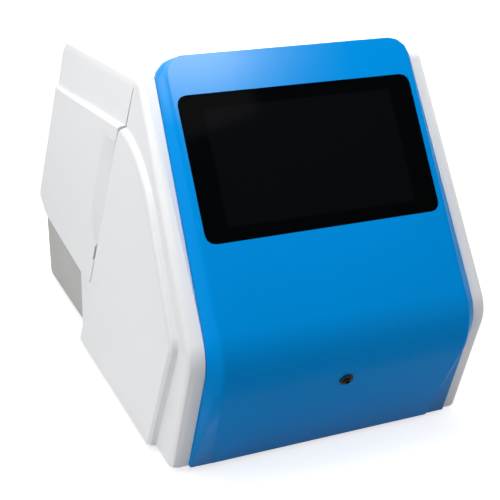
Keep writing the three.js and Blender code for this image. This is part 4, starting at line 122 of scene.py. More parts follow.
class Graph:
    """One shader tree, wired node by node."""

    def __init__(self, tree: bpy.types.NodeTree) -> None:
        """Starts on the emptied tree of a material, a world or a group."""
        self.tree = tree
        tree.nodes.clear()

    def node(self, kind: str, inputs: Optional[dict] = None, **settings: object) -> Node:
        """Adds a node.

        Args:
            kind: Blender's name for the node type.
            inputs: Input names or numbers, each with a value or with a socket to link.
            **settings: The node's own properties.

        Returns:
            The new node.
        """
        made = self.tree.nodes.new(kind)
        for key, value in settings.items():
            setattr(made, key, value)
        for key, value in (inputs or {}).items():
            socket = made.inputs[key]
            if isinstance(value, Socket):
                self.tree.links.new(value, socket)
            else:
                socket.default_value = (*value, 1.0) if socket.type == "RGBA" else value
        return made

    @cached_property
    def place(self) -> Socket:
        """Gives the coordinates that patterns read: the piece's own, in metres."""
        return self.node("ShaderNodeTexCoord").outputs["Object"]

    def axes(self, vector: Socket) -> bpy.types.NodeOutputs:
        """Gives a vector's X, Y and Z."""
        return self.node("ShaderNodeSeparateXYZ", {0: vector}).outputs

    def noise(self, scale: object, detail: float = 2.0, rough: float = 0.5, place: object = None) -> Socket:
        """Gives a noise value from 0 to 1, with a scale in repeats per metre."""
        inputs = {"Vector": place or self.place, "Scale": scale, "Detail": detail, "Roughness": rough}
        return self.node("ShaderNodeTexNoise", inputs).outputs["Fac"]

    def math(self, operation: str, first: object, second: object = 0.0) -> Socket:
        """Gives the result of a sum on one or two values."""
        return self.node("ShaderNodeMath", {0: first, 1: second}, operation=operation).outputs[0]

    def product(self, first: object, second: object) -> Socket:
        """Multiplies two values."""
        return self.math("MULTIPLY", first, second)

    def remap(
        self, value: object, low: float, high: float, to_low: float = 0.0, to_high: float = 1.0,
    ) -> Socket:
        """Stretches a value from one range to another and clamps it there."""
        inputs = {"Value": value, "From Min": low, "From Max": high, "To Min": to_low, "To Max": to_high}
        return self.node("ShaderNodeMapRange", inputs).outputs["Result"]

    def mix(self, share: object, first: object, second: object) -> Socket:
        """Blends two colours; the numbers are those of the Mix node's colour sockets."""
        return self.node("ShaderNodeMix", {0: share, 6: first, 7: second}, data_type="RGBA").outputs[2]

    def relief(self, height: Socket, depth: float) -> Socket:
        """Gives the normal of a relief whose full height is a depth in metres."""
        return self.node("ShaderNodeBump", {"Height": height, "Distance": depth}).outputs["Normal"]

    def background(self) -> Socket:
        """Gives 1 for rays that show the background: direct, reflected and through glass.

        Returns:
            The mask.
        """
        rays = self.node("ShaderNodeLightPath").outputs
        direct = self.math("MAXIMUM", rays["Is Camera Ray"], rays["Is Transmission Ray"])
        return self.math("MAXIMUM", direct, rays["Is Glossy Ray"])

    def effect(self, effect: "Effect", **values: float) -> Socket:
        """Places a shared effect with its own values and gives its result."""
        inputs = {"Vector": self.place, **values}
        return self.node("ShaderNodeGroup", inputs, node_tree=effect.tree()).outputs[0]


class EffectGraph(Graph):
    """The inside of a shared effect, a node group with coordinates and numbers as its inputs."""

    @cached_property
    def given(self) -> bpy.types.NodeOutputs:
        """Gives the group's inputs."""
        return self.node("NodeGroupInput").outputs

    @cached_property
    def place(self) -> Socket:
        """Gives the coordinates that the group is given."""
        return self.given["Vector"]

    def masked(self, first: Socket, second: Socket) -> Socket:
        """Multiplies two masks and the amount that the group is given."""
        return self.product(self.product(first, second), self.given["Amount"])

    def grain(self) -> Socket:
        """Makes spark-eroded mould grain: rounded pits between fine ridges.

        Returns:
            The height.
        """
        scale, softness = self.given["Scale"], self.given["Softness"]
        pits = self.node("ShaderNodeTexVoronoi", {"Vector": self.place, "Scale": scale}, feature="SMOOTH_F1")
        soft = self.product(self.noise(self.product(scale, 0.45), 3.0), softness)
        sharp = self.product(pits.outputs["Distance"], self.math("SUBTRACT", 1.0, softness))
        return self.math("ADD", soft, sharp)

    def marks(self) -> Socket:
        """Makes faint marks of wiping and handling, in broad soft patches with streaks.

        Returns:
            The mask.
        """
        wiped = {"Vector": self.place, "Rotation": (0.4, 0.7, 0.5), "Scale": (9.0, 1.2, 1.2)}
        stretched = self.node("ShaderNodeMapping", wiped).outputs["Vector"]
        patch = self.remap(self.noise(self.given["Scale"], 4.0, 0.6), 0.42, 0.68)
        return self.masked(patch, self.remap(self.noise(60.0, 3.0, 0.7, stretched), 0.45, 0.75, 0.35))

    def brush(self) -> Socket:
        """Makes fine parallel lines from rolling, turning or brushing.

        Returns:
            The height.
        """
        scales = {"X": "Across", "Y": "Across", "Z": "Along"}
        axes = self.axes(self.place)
        stretched = {axis: self.product(axes[axis], self.given[scale]) for axis, scale in scales.items()}
        return self.noise(1.0, 2.0, 0.6, self.node("ShaderNodeCombineXYZ", stretched).outputs[0])

    def wear(self) -> Socket:
        """Makes rubbed edges: the eased edges of a piece, broken up by noise.

        Returns:
            The mask.
        """
        edge = self.node("ShaderNodeAttribute", attribute_name=EDGE_LAYER).outputs["Fac"]
        return self.masked(edge, self.remap(self.noise(self.given["Scale"], 3.0, 0.65), 0.4, 0.62))

    def dust(self) -> Socket:
        """Makes a film that settles on faces that look up.

        Returns:
            The mask.
        """
        upward = self.axes(self.node("ShaderNodeNewGeometry").outputs["Normal"])["Z"]
        cloud = self.remap(self.noise(self.given["Scale"], 5.0, 0.7), 0.35, 0.7, 0.2)
        return self.masked(self.remap(upward, 0.55, 1.0), cloud)


class Effect(Enum):
    """Surface effects that several finishes share, each kept as one node group."""

    GRAIN = ("moulded_grain", EffectGraph.grain, "Height", {"Scale": 2500.0, "Softness": 0.5})
    MARKS = ("handling_marks", EffectGraph.marks, "Mask", {"Scale": 14.0, "Amount": 1.0})
    BRUSH = ("brushed_lines", EffectGraph.brush, "Height", {"Along": 40.0, "Across": 4000.0})
    WEAR = ("edge_wear", EffectGraph.wear, "Mask", {"Scale": 160.0, "Amount": 0.5})
    DUST = ("settled_dust", EffectGraph.dust, "Mask", {"Scale": 90.0, "Amount": 0.3})

    def tree(self) -> bpy.types.NodeTree:
        """Gives the effect's node group, built the first time it is asked for.

        Returns:
            The group, with coordinates and a few numbers as inputs and one value as output.
        """
        group, make, result, numbers = self.value
        found = bpy.data.node_groups.get(group)
        if found:
            return found
        tree = bpy.data.node_groups.new(group, "ShaderNodeTree")
        tree.interface.new_socket("Vector", in_out="INPUT", socket_type="NodeSocketVector")
        for name, value in numbers.items():
            number = tree.interface.new_socket(name, in_out="INPUT", socket_type="NodeSocketFloat")
            number.default_value = value
        tree.interface.new_socket(result, in_out="OUTPUT", socket_type="NodeSocketFloat")
        graph = EffectGraph(tree)
        graph.node("NodeGroupOutput", {result: make(graph)})
        return tree


# Finishes


@dataclass(frozen=True)
class Finish:
    """A surface as the shop would order it: a colour, a gloss and the marks that come with use."""

    name: str
    slot: str
    color: Rgb
    roughness: float = 0.5

    def material(self) -> bpy.types.Material:
        """Gives the finish's material, made the first time it is asked for.

        Returns:
            The material.
        """
        found = bpy.data.materials.get(self.name)
        if found:
            return found
        made = bpy.data.materials.new(self.name)
        made.use_nodes = True
        made.diffuse_color = (*self.color, 1.0)
        graph = Graph(made.node_tree)
        shader = graph.node("ShaderNodeBsdfPrincipled", self.paint(graph))
        graph.node("ShaderNodeOutputMaterial", {"Surface": shader.outputs[0]})
        return made

    def paint(self, graph: Graph) -> Inputs:
        """Gives a plain surface, which each kind of finish replaces by its own.

        Args:
            graph: The material's tree.

        Returns:
            The inputs of the Principled shader.
        """
        return {"Base Color": self.color, "Roughness": self.roughness}


@dataclass(frozen=True)
class SheenCoat:
    """Clear coat, full at one upper corner of a piece and thinning out from there: a painted sheen, as the
    lamps' reflection shows only where it lies.

    The heights and sides are where it is none and where it is full, along the piece's own axes.
    """

    weight: float
    heights: tuple[float, float]
    sides: tuple[float, float]
    roughness: float

    def spread(self, graph: Graph) -> Inputs:
        """Lays the coat, and with it the painted sheen, over a surface.

        Args:
            graph: The material's tree.

        Returns:
            Its inputs of the Principled shader.
        """
        # Painted sheen: the coat is masked to the upper corner so that the lamps' reflection shows there
        # only.
        axes = graph.axes(graph.place)
        high = graph.remap(axes["Z"], *self.heights, 0.0, self.weight)
        across = graph.remap(axes["X"], *self.sides)
        return {"Coat Weight": graph.product(high, across), "Coat Roughness": self.roughness}


@dataclass(frozen=True)
class Moulded(Finish):
    """Injection-moulded plastic, grained or polished by its mould."""

    grain_scale: float = 2200.0
    grain_depth: float = 0.02 * MM
    shade: float = 0.93
    edge_light: float = 0.06
    marks: float = 0.10
    dust: float = 0.10
    specular: float = 0.5
    glow: float = 0.0
    glow_reach: Rgb = (2.0 * MM, 1.8 * MM, 1.6 * MM)
    worn_color: Rgb = (0.9, 0.9, 0.9)
    dust_color: Rgb = srgb(190, 188, 182)
    sheen_coat: Optional[SheenCoat] = None

    def paint(self, graph: Graph) -> Inputs:
        """Gives flow shading, handling marks, paler edges, dust and the mould's grain.

        Args:
            graph: The material's tree.

        Returns:
            The inputs of the Principled shader.
        """
        flow = graph.remap(graph.noise(9.0, 3.0, 0.6), 0.3, 0.7)
        base = graph.mix(flow, toned(self.color, self.shade), self.color)
        wear = graph.effect(Effect.WEAR, Amount=self.edge_light)
        worn = graph.mix(wear, base, self.worn_color)
        dust = graph.effect(Effect.DUST, Amount=self.dust)
        marks = graph.effect(Effect.MARKS, Amount=self.marks)
        grain = graph.effect(Effect.GRAIN, Scale=self.grain_scale)
        # Painted sheen: a coat masked so that the lamps' reflection shows only on one upper corner.
        coat = self.sheen_coat.spread(graph) if self.sheen_coat else {}
        return {
            "Base Color": graph.mix(dust, worn, self.dust_color),
            "Roughness": graph.math("ADD", marks, self.roughness),
            "Normal": graph.relief(grain, self.grain_depth),
            "Specular IOR Level": self.specular,
            "Subsurface Weight": self.glow,
            "Subsurface Radius": self.glow_reach,
            "Subsurface Scale": 1.0,
            **coat,
        }


@dataclass(frozen=True)
class Painted(Finish):
    """Powder-coated sheet: a fine orange peel, thin at the edges."""

    peel_scale: float = 900.0
    peel_depth: float = 0.05 * MM
    worn_color: Rgb = srgb(205, 205, 203)
    dust_color: Rgb = srgb(172, 168, 160)

    def paint(self, graph: Graph) -> Inputs:
        """Gives the coat's peel and speckle, its marks and its bright edges.

        Args:
            graph: The material's tree.

        Returns:
            The inputs of the Principled shader.
        """
        speckle = graph.remap(graph.noise(1800.0, 2.0, 0.6), 0.35, 0.65)
        base = graph.mix(speckle, toned(self.color, 0.82), self.color)
        worn = graph.mix(graph.effect(Effect.WEAR, Amount=0.35), base, self.worn_color)
        marks = graph.effect(Effect.MARKS, Amount=0.16)
        peel = graph.effect(Effect.GRAIN, Scale=self.peel_scale, Softness=0.8)
        return {
            "Base Color": graph.mix(graph.effect(Effect.DUST, Amount=0.25), worn, self.dust_color),
            "Roughness": graph.math("ADD", marks, self.roughness),
            "Normal": graph.relief(peel, self.peel_depth),
        }


@dataclass(frozen=True)
class Metal(Finish):
    """Bare metal with the lines of its rolling, turning or brushing."""

    along: float = 60.0
    across: float = 3500.0
    line_depth: float = 0.01 * MM
    tarnish: float = 0.25

    def paint(self, graph: Graph) -> Inputs:
        """Gives the lines, a slight tarnish and the marks of handling.

        Args:
            graph: The material's tree.

        Returns:
            The inputs of the Principled shader.
        """
        lines = graph.effect(Effect.BRUSH, Along=self.along, Across=self.across)
        cloud = graph.remap(graph.noise(35.0, 4.0, 0.6), 0.4, 0.75, 0.0, self.tarnish)
        marks = graph.effect(Effect.MARKS, Scale=30.0, Amount=0.15)
        spread = graph.remap(lines, 0.3, 0.7, self.roughness - 0.06, self.roughness + 0.08)
        return {
            "Base Color": graph.mix(cloud, self.color, toned(self.color, 0.7)),
            "Roughness": graph.math("ADD", spread, marks),
            "Normal": graph.relief(lines, self.line_depth),
            "Metallic": 1.0,
        }


@dataclass(frozen=True)
class Elastic(Finish):
    """Rubber or silicone, dull and slightly bloomed, clear where it is tubing."""

    clear: float = 0.0
    bloom: float = 0.4
    skin_depth: float = 0.03 * MM
    refraction: float = 1.41

    def paint(self, graph: Graph) -> Inputs:
        """Gives a pale bloom and a soft skin.

        Args:
            graph: The material's tree.

        Returns:
            The inputs of the Principled shader.
        """
        bloom = graph.remap(graph.noise(220.0, 4.0, 0.7), 0.45, 0.8, 0.0, self.bloom)
        skin = graph.effect(Effect.GRAIN, Scale=1600.0, Softness=0.7)
        return {
            "Base Color": graph.mix(bloom, self.color, toned(self.color, 1.6, 0.02)),
            "Roughness": graph.remap(bloom, 0.0, 1.0, self.roughness - 0.08, self.roughness),
            "Normal": graph.relief(skin, self.skin_depth),
            "Transmission Weight": self.clear,
            "Specular IOR Level": 0.5 if self.clear else 0.3,
            "IOR": self.refraction,
        }


@dataclass(frozen=True)
class Glazed(Finish):
    """Optical glass: clear or tinted, its surface nearly perfect."""

    refraction: float = 1.5

    def paint(self, graph: Graph) -> Inputs:
        """Gives clear glass with a faint film that dulls the polish here and there.

        Args:
            graph: The material's tree.

        Returns:
            The inputs of the Principled shader.
        """
        film = graph.effect(Effect.MARKS, Scale=120.0, Amount=0.10)
        tone = graph.remap(graph.noise(60.0), 0.3, 0.7)
        return {
            "Base Color": graph.mix(tone, toned(self.color, 0.92), self.color),
            "Roughness": graph.math("ADD", film, self.roughness),
            "Transmission Weight": 1.0,
            "IOR": self.refraction,
        }


@dataclass(frozen=True)
class Screen(Finish):
    """Touch glass with a black printed border round the dark display behind it."""

    node: str = "display_glass"
    lean: float = math.radians(32.0)
    view_width: float = 132.0 * MM
    view_height: float = 77.0 * MM
    view_color: Rgb = srgb(11, 12, 16)
    fade: float = 0.6 * MM
    dot_depth: float = 0.002 * MM
    specular: float = 0.002

    def paint(self, graph: Graph) -> Inputs:
        """Gives the viewing area, a touch lighter than its border, and faint finger marks.

        Args:
            graph: The material's tree.

        Returns:
            The inputs of the Principled shader.
        """
        across = self.strip(graph, Vector((1, 0, 0)), self.view_width)
        upward = Vector((0, math.sin(self.lean), math.cos(self.lean)))
        high = self.strip(graph, upward, self.view_height)
        marks = graph.effect(Effect.MARKS, Scale=22.0, Amount=0.05)
        dots = graph.effect(Effect.GRAIN, Scale=3500.0)
        return {
            "Base Color": graph.mix(graph.product(across, high), self.color, self.view_color),
            "Roughness": graph.math("ADD", marks, self.roughness),
            "Normal": graph.relief(dots, self.dot_depth),
            "Specular IOR Level": self.specular,
        }

    def strip(self, graph: Graph, axis: Vector, size: float) -> Socket:
        """Gives 1 within a strip over the glass's middle and 0 outside it.

        Args:
            graph: The material's tree.
            axis: The direction across the strip.
            size: The strip's width.

        Returns:
            The mask.
        """
        low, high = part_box(self.node)
        middle = axis.dot((low + high) / 2)
        product = graph.node("ShaderNodeVectorMath", {0: graph.place, 1: axis}, operation="DOT_PRODUCT")
        reach = graph.math("ABSOLUTE", graph.math("SUBTRACT", product.outputs["Value"], middle))
        return graph.remap(reach, size / 2 - self.fade, size / 2 + self.fade, 1.0, 0.0)


@dataclass(frozen=True)
class Laminate(Finish):
    """Circuit board: solder mask over copper tracks and pads."""

    track_scale: float = 420.0
    track_depth: float = 0.03 * MM
    mask_coat: float = 0.4

    def paint(self, graph: Graph) -> Inputs:
        """Gives the tracks as paler lines that stand up a little.

        Args:
            graph: The material's tree.

        Returns:
            The inputs of the Principled shader.
        """
        inputs = {"Vector": graph.place, "Scale": self.track_scale, "Randomness": 0.35}
        cells = graph.node("ShaderNodeTexVoronoi", inputs, feature="F1", distance="CHEBYCHEV")
        track = graph.remap(graph.math("PINGPONG", cells.outputs["Distance"], 0.14), 0.05, 0.09)
        wide = graph.remap(graph.noise(55.0, 1.0), 0.46, 0.54)
        copper = graph.product(track, wide)
        return {
            "Base Color": graph.mix(copper, self.color, toned(self.color, 1.9, 0.01)),
            "Roughness": graph.remap(copper, 0.0, 1.0, self.roughness, self.roughness - 0.12),
            "Normal": graph.relief(copper, self.track_depth),
            "Coat Weight": self.mask_coat,
        }


@dataclass(frozen=True)
class FloorPaint(Finish):
    """White floor that glows as white as the surround, the more so the farther out."""

    glow: float = 0.72
    near: float = 0.30
    far: float = 0.90

    def paint(self, graph: Graph) -> Inputs:
        """Gives a floor that still takes a shadow near the analyzer.

        Args:
            graph: The material's tree.

        Returns:
            The inputs of the Principled shader.
        """
        distance = graph.node("ShaderNodeVectorMath", {0: graph.place}, operation="LENGTH").outputs["Value"]
        glow = graph.remap(distance, self.near, self.far, self.glow, 1.0)
        return {
            "Base Color": self.color,
            "Roughness": self.roughness,
            "Emission Color": WHITE_LIGHT,
            "Emission Strength": graph.product(graph.background(), glow),
        }


FLOOR_WHITE = FloorPaint("white_floor", "floor", (0.6, 0.6, 0.6), 0.7)
# Painted sheen: the fascia's coat is full only at its upper left, so the sheen lamp's reflection shows there
# alone.
HEAD_PAINTED_SHEEN = SheenCoat(1.0, heights=(0.222, 0.262), sides=(0.045, -0.045), roughness=0.28)
WHITE = Moulded(
    "white_abs", "white_plastic", srgb(241, 242, 244), 0.36, grain_scale=1500.0, shade=0.985,
    marks=0.07, dust=0.03, edge_light=0.0, specular=0.3,
)
BLUE = Moulded(
    "blue_abs", "blue_plastic", srgb(0, 147, 231), 0.20, grain_scale=900.0, grain_depth=0.004 * MM,
    shade=0.96, marks=0.015, dust=0.0, edge_light=0.0, specular=0.02, sheen_coat=HEAD_PAINTED_SHEEN,
)
BLACK = Moulded("black_nylon", "black_plastic", srgb(34, 35, 38), 0.45, edge_light=0.05, specular=0.35)
INK_WHITE = Moulded("white_ink", "white_plastic", srgb(232, 233, 232), 0.5, marks=0.02, dust=0.02)
NATURAL = Moulded("natural_nylon", "nylon", srgb(222, 222, 212), 0.42, glow=0.15, shade=0.95)
PORCELAIN = Moulded("glazed_ceramic", "optical_glass", srgb(228, 224, 212), 0.25, marks=0.04, dust=0.05)
CHIP_BLACK = Moulded("epoxy_black", "circuit_board", srgb(28, 29, 31), 0.55, grain_scale=5000.0, dust=0.05)
SOCKET_CREAM = Moulded("socket_cream", "circuit_board", srgb(226, 220, 198), 0.45, dust=0.05)
TOUCH_GLASS = Screen("touch_glass", "display_glass", srgb(5, 6, 7), 0.06)
SHEET_GREY = Painted("grey_powder_coat", "painted_sheet", srgb(186, 187, 184), 0.45)
STEEL = Metal("zinc_plated_steel", "steel", srgb(196, 199, 203), 0.3)
BRIGHT_STEEL = Metal("bright_steel", "steel", srgb(214, 215, 216), 0.2, line_depth=0.004 * MM)
DARK_STEEL = Metal("blackened_steel", "steel", srgb(17, 18, 21), 0.42, line_depth=0.004 * MM, tarnish=0.5)
BRASS = Metal("nickelled_brass", "steel", srgb(214, 196, 150), 0.28, line_depth=0.004 * MM)
ALUMINIUM = Metal("machined_aluminium", "aluminium", srgb(205, 207, 209), 0.32, along=90.0, across=2200.0)
RUBBER = Elastic("black_rubber", "rubber", srgb(16, 16, 18), 0.75, bloom=0.18)
SILICONE = Elastic("silicone_tubing", "silicone", srgb(226, 230, 228), 0.3, clear=0.55)
CLEAR_GLASS = Glazed("clear_glass", "optical_glass", srgb(236, 242, 245), 0.03)
BOARD_GREEN = Laminate("board_green", "circuit_board", srgb(22, 92, 58), 0.38)
FILTER_TINTS = (
    srgb(96, 60, 168), srgb(58, 84, 214), srgb(44, 150, 226), srgb(52, 186, 150),
    srgb(128, 200, 66), srgb(238, 196, 48), srgb(236, 124, 40), srgb(206, 44, 40),
)
WIRE_COLORS = {
    "red": srgb(188, 32, 30), "black": srgb(30, 30, 32), "blue": srgb(32, 82, 176),
    "yellow": srgb(228, 190, 42),
}
WIRES = [Elastic(f"wire_{name}", "black_plastic", color, 0.42) for name, color in WIRE_COLORS.items()]
WIRE_GREY = Elastic("wire_grey", "black_plastic", srgb(150, 152, 154), 0.45)
WIRE_WHITE = Elastic("wire_white", "silicone", srgb(226, 224, 216), 0.42)


# Mesh building


@dataclass(frozen=True)
class Easing:
    """How a piece's sharp edges are broken."""

    width: float = 0.3 * MM
    segments: int = 2
    least_angle: float = math.radians(28.0)
    smooth_angle: float = math.radians(38.0)
    room: float = 3.5


FINE = Easing(0.15 * MM, 1)
SMALL = Easing(0.25 * MM)
SHELL = Easing(0.5 * MM, 3)
BARE = Easing(0.0, 0)


def merged(node: str) -> Mesh:
    """Starts a mesh from a CAD node, its triangles merged into one skin of flat faces.

    Args:
        node: The node's name.

    Returns:
        The merged mesh.
    """
    mesh = bmesh.new()
    mesh.from_mesh(frame["nodes"][node].data)
    bmesh.ops.remove_doubles(mesh, verts=mesh.verts, dist=WELD)
    bmesh.ops.dissolve_limit(mesh, angle_limit=FLAT, verts=mesh.verts, edges=mesh.edges)
    return mesh


def ease(mesh: Mesh, easing: Easing) -> None:
    """Breaks a mesh's sharp edges and marks the new faces for edge wear.

    Edges that end at a detail too small for the width, or that border a face too narrow for it,
    stay as they are.

    Args:
        mesh: The mesh.
        easing: How its edges are broken.
    """
    layer = mesh.faces.layers.float.new(EDGE_LAYER)
    if easing.segments == 0:
        return
    room = easing.width * easing.room
    tight = {end for edge in mesh.edges if edge.calc_length() < room for end in edge.verts}
    narrow = {face for face in mesh.faces if face.calc_area() < easing.width * face.calc_perimeter()}
    sharp = [e for e in mesh.edges if e.is_manifold and e.calc_face_angle(0.0) > easing.least_angle]
    chosen = [e for e in sharp if not tight.intersection(e.verts) and not narrow.intersection(e.link_faces)]
    if not chosen:
        return
    made = bmesh.ops.bevel(
        mesh, geom=chosen, offset=easing.width, offset_type="OFFSET", segments=easing.segments,
        profile=0.5, affect="EDGES", clamp_overlap=False, material=-1,
    )
    for face in made["faces"]:
        face[layer] = 1.0


@dataclass(frozen=True)
class Region:
    """A box in which the faces of a node are made of something else than the rest."""

    finish: Finish
    low: Vector
    high: Vector

    def holds(self, place: Vector) -> bool:
        """Tells whether a place is in the box."""
        return all(low <= value <= high for low, value, high in zip(self.low, place, self.high))


def placed(name: str, data: bpy.types.ID) -> Piece:
    """Makes an object for a mesh, a curve, a light or a camera and puts it in the scene.

    Args:
        name: The object's name.
        data: What it holds.

    Returns:
        The new object.
    """
    made = bpy.data.objects.new(name, data)
    bpy.context.scene.collection.objects.link(made)
    return made


def settle(
    mesh: Mesh, name: str, finish: Finish, body: str, replaced: Sequence[str] = (),
    smooth_angle: float = Easing.smooth_angle, regions: Sequence[Region] = (),
) -> Piece:
    """Turns a finished mesh into a piece that rides on a body.

    Args:
        mesh: The mesh, already in its place; it is used up.
        name: The piece's name.
        finish: Its finish.
        body: The body that carries it.
        replaced: The CAD nodes that it stands for.
        smooth_angle: The least angle of an edge that stays sharp to the eye.
        regions: Its stretches with a finish of their own.

    Returns:
        The new object.
    """
    data = bpy.data.meshes.new(name)
    for surface in (finish, *(region.finish for region in regions)):
        data.materials.append(surface.material())
    for face in mesh.faces:
        face.smooth = True
        middle = face.calc_center_median()
        for number, region in enumerate(regions, 1):
            if region.holds(middle):
                face.material_index = number
    mesh.to_mesh(data)
    mesh.free()
    data.set_sharp_from_angle(angle=smooth_angle)
    piece = placed(name, data)
    evened = piece.modifiers.new("evened_normals", "WEIGHTED_NORMAL")
    evened.keep_sharp = True
    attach(piece, body)
    if replaced:
        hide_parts(*replaced)
    return piece


def aimed(place: Vector, axis: Vector, turn: float = 0.0) -> Matrix:
    """Stands a piece that was made along +Z at a place, along an axis.

    Args:
        place: Where the piece's origin goes.
        axis: Where its +Z points.
        turn: How far it is turned about its own axis first.

    Returns:
        The transform.
    """
    stand = axis.to_track_quat("Z", "Y").to_matrix().to_4x4()
    return Matrix.Translation(place) @ stand @ Matrix.Rotation(turn, 4, "Z")


class Drive(Enum):
    """Recess in a screw's head."""

    CROSS = "cross"
    HEX = "hex"

    def reach(self, angle: float, size: float) -> float:
        """Gives how far the recess reaches at an angle.

        Args:
            angle: The direction from the screw's axis.
            size: The recess's greatest reach.

        Returns:
            The reach in that direction.
        """
        if self is Drive.HEX:
            turn = angle % math.radians(60) - math.radians(30)
            return size * math.cos(math.radians(30)) / math.cos(turn)
        turn = abs((angle + math.pi / 4) % (math.pi / 2) - math.pi / 4)
        arm = size * math.tan(math.radians(15))
        return min(size / math.cos(turn), arm / max(math.sin(turn), 0.001))


@dataclass(frozen=True)
class Screw:
    """A machine screw's head, made along +Z from the face that it clamps."""

    radius: float
    height: float
    drive: Drive = Drive.CROSS
    drive_share: float = 0.6
    depth_share: float = 0.6
    profile: tuple[tuple[float, float], ...] = ((1.0, 0.35), (0.93, 0.7), (0.78, 0.93), (0.68, 1.0))
    floor_share: float = 0.7
    sides: int = 24

    def add(self, mesh: Mesh, stand: Matrix) -> None:
        """Adds one head to a mesh: a disc whose rim goes up the profile and down into the recess.

        Args:
            mesh: The mesh.
            stand: Where the head stands.
        """
        outline = {"cap_ends": True, "segments": self.sides, "radius": self.radius, "matrix": stand}
        rim = bmesh.ops.create_circle(mesh, **outline)["verts"][0].link_faces[0].edges[:]
        for share, rise in self.profile:
            rim = self.extrude(mesh, rim, stand, share, rise)
        for share, rise in ((1.0, 1.0), (self.floor_share, 1 - self.depth_share)):
            rim = self.extrude(mesh, rim, stand, share, rise, recess=True)
        bmesh.ops.contextual_create(mesh, geom=rim)

    def extrude(
        self, mesh: Mesh, rim: list[Edge], stand: Matrix, share: float, rise: float, recess: bool = False,
    ) -> list[Edge]:
        """Extrudes the head's rim to its next ring.

        Args:
            mesh: The mesh.
            rim: The rim's edges.
            stand: Where the head stands.
            share: The ring's size as a share of the head, or of the recess.
            rise: The ring's height as a share of the head's.
            recess: Whether the ring has the outline of the recess.

        Returns:
            The edges of the ring.
        """
        made = bmesh.ops.extrude_edge_only(mesh, edges=rim)["geom"]
        back = stand.inverted()
        for corner in (item for item in made if isinstance(item, bmesh.types.BMVert)):
            place = back @ corner.co
            angle = math.atan2(place.y, place.x)
            reach = self.drive.reach(angle, self.radius * self.drive_share) if recess else self.radius
            outward = Vector((math.cos(angle), math.sin(angle), 0.0))
            corner.co = stand @ (outward * reach * share + UP * rise * self.height)
        return [item for item in made if isinstance(item, Edge) and item.is_boundary]


PAN_M3 = Screw(2.8 * MM, 1.7 * MM)
PAN_M4 = Screw(3.6 * MM, 2.2 * MM)
FLAT_M3 = Screw(2.7 * MM, 0.3 * MM, depth_share=2.6, profile=((1.0, 0.5), (0.95, 1.0)))
CAP_M3 = Screw(2.7 * MM, 2.9 * MM, Drive.HEX, 0.5, 0.6, ((1.0, 0.88), (0.93, 1.0)))


@dataclass(frozen=True)
class Lead:
    """An insulated wire that follows its knots in a smooth run."""

    finish: Finish
    radius: float = 0.65 * MM

    def lay(self, knots: Sequence[Vector], name: str, body: str) -> Piece:
        """Lays the wire.

        Args:
            knots: The places that it passes.
            name: The piece's name.
            body: The body that carries it.

        Returns:
            The new piece.
        """
        data = bpy.data.curves.new(name, "CURVE")
        data.dimensions = "3D"
        data.bevel_depth = self.radius
        data.bevel_resolution = 2
        data.use_fill_caps = True
        spline = data.splines.new("BEZIER")
        spline.bezier_points.add(len(knots) - 1)
        for knot, place in zip(spline.bezier_points, knots):
            knot.co = place
            knot.handle_left_type = knot.handle_right_type = "AUTO"
        data.materials.append(self.finish.material())
        piece = placed(name, data)
        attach(piece, body)
        return piece


def band(mesh: Mesh, stand: Matrix, inner: float, outer: float, width: float, sides: int = 20) -> None:
    """Adds a flat ring, such as a cable tie, by spinning its section.

    Args:
        mesh: The mesh.
        stand: Where the ring's middle is and, along +Z, its axis.
        inner: Its inner radius.
        outer: Its outer radius.
        width: Its width along the axis.
        sides: Its number of facets.
    """
    section = ((inner, -width / 2), (outer, -width / 2), (outer, width / 2), (inner, width / 2))
    corners = [mesh.verts.new(stand @ Vector((reach, 0.0, rise))) for reach, rise in section]
    edges = [mesh.edges.new((corner, corners[number - 1])) for number, corner in enumerate(corners)]
    bmesh.ops.spin(
        mesh, geom=[*corners, *edges], cent=stand.translation, axis=stand.to_3x3() @ UP,
        angle=FULL_TURN, steps=sides, use_merge=True,
    )


def block(mesh: Mesh, stand: Matrix, size: Vector, chamfer: float) -> None:
    """Adds a block with broken edges.

    Args:
        mesh: The mesh.
        stand: Where its middle is and how it is turned.
        size: Its size along its own axes.
        chamfer: How much its edges are broken.
    """
    made = bmesh.ops.create_cube(mesh, size=1.0, matrix=stand @ Matrix.Diagonal((*size, 1.0)))
    edges = list({edge for corner in made["verts"] for edge in corner.link_edges})
    bmesh.ops.bevel(
        mesh, geom=edges, offset=chamfer, offset_type="OFFSET", segments=1,
        profile=0.5, affect="EDGES", material=-1,
    )


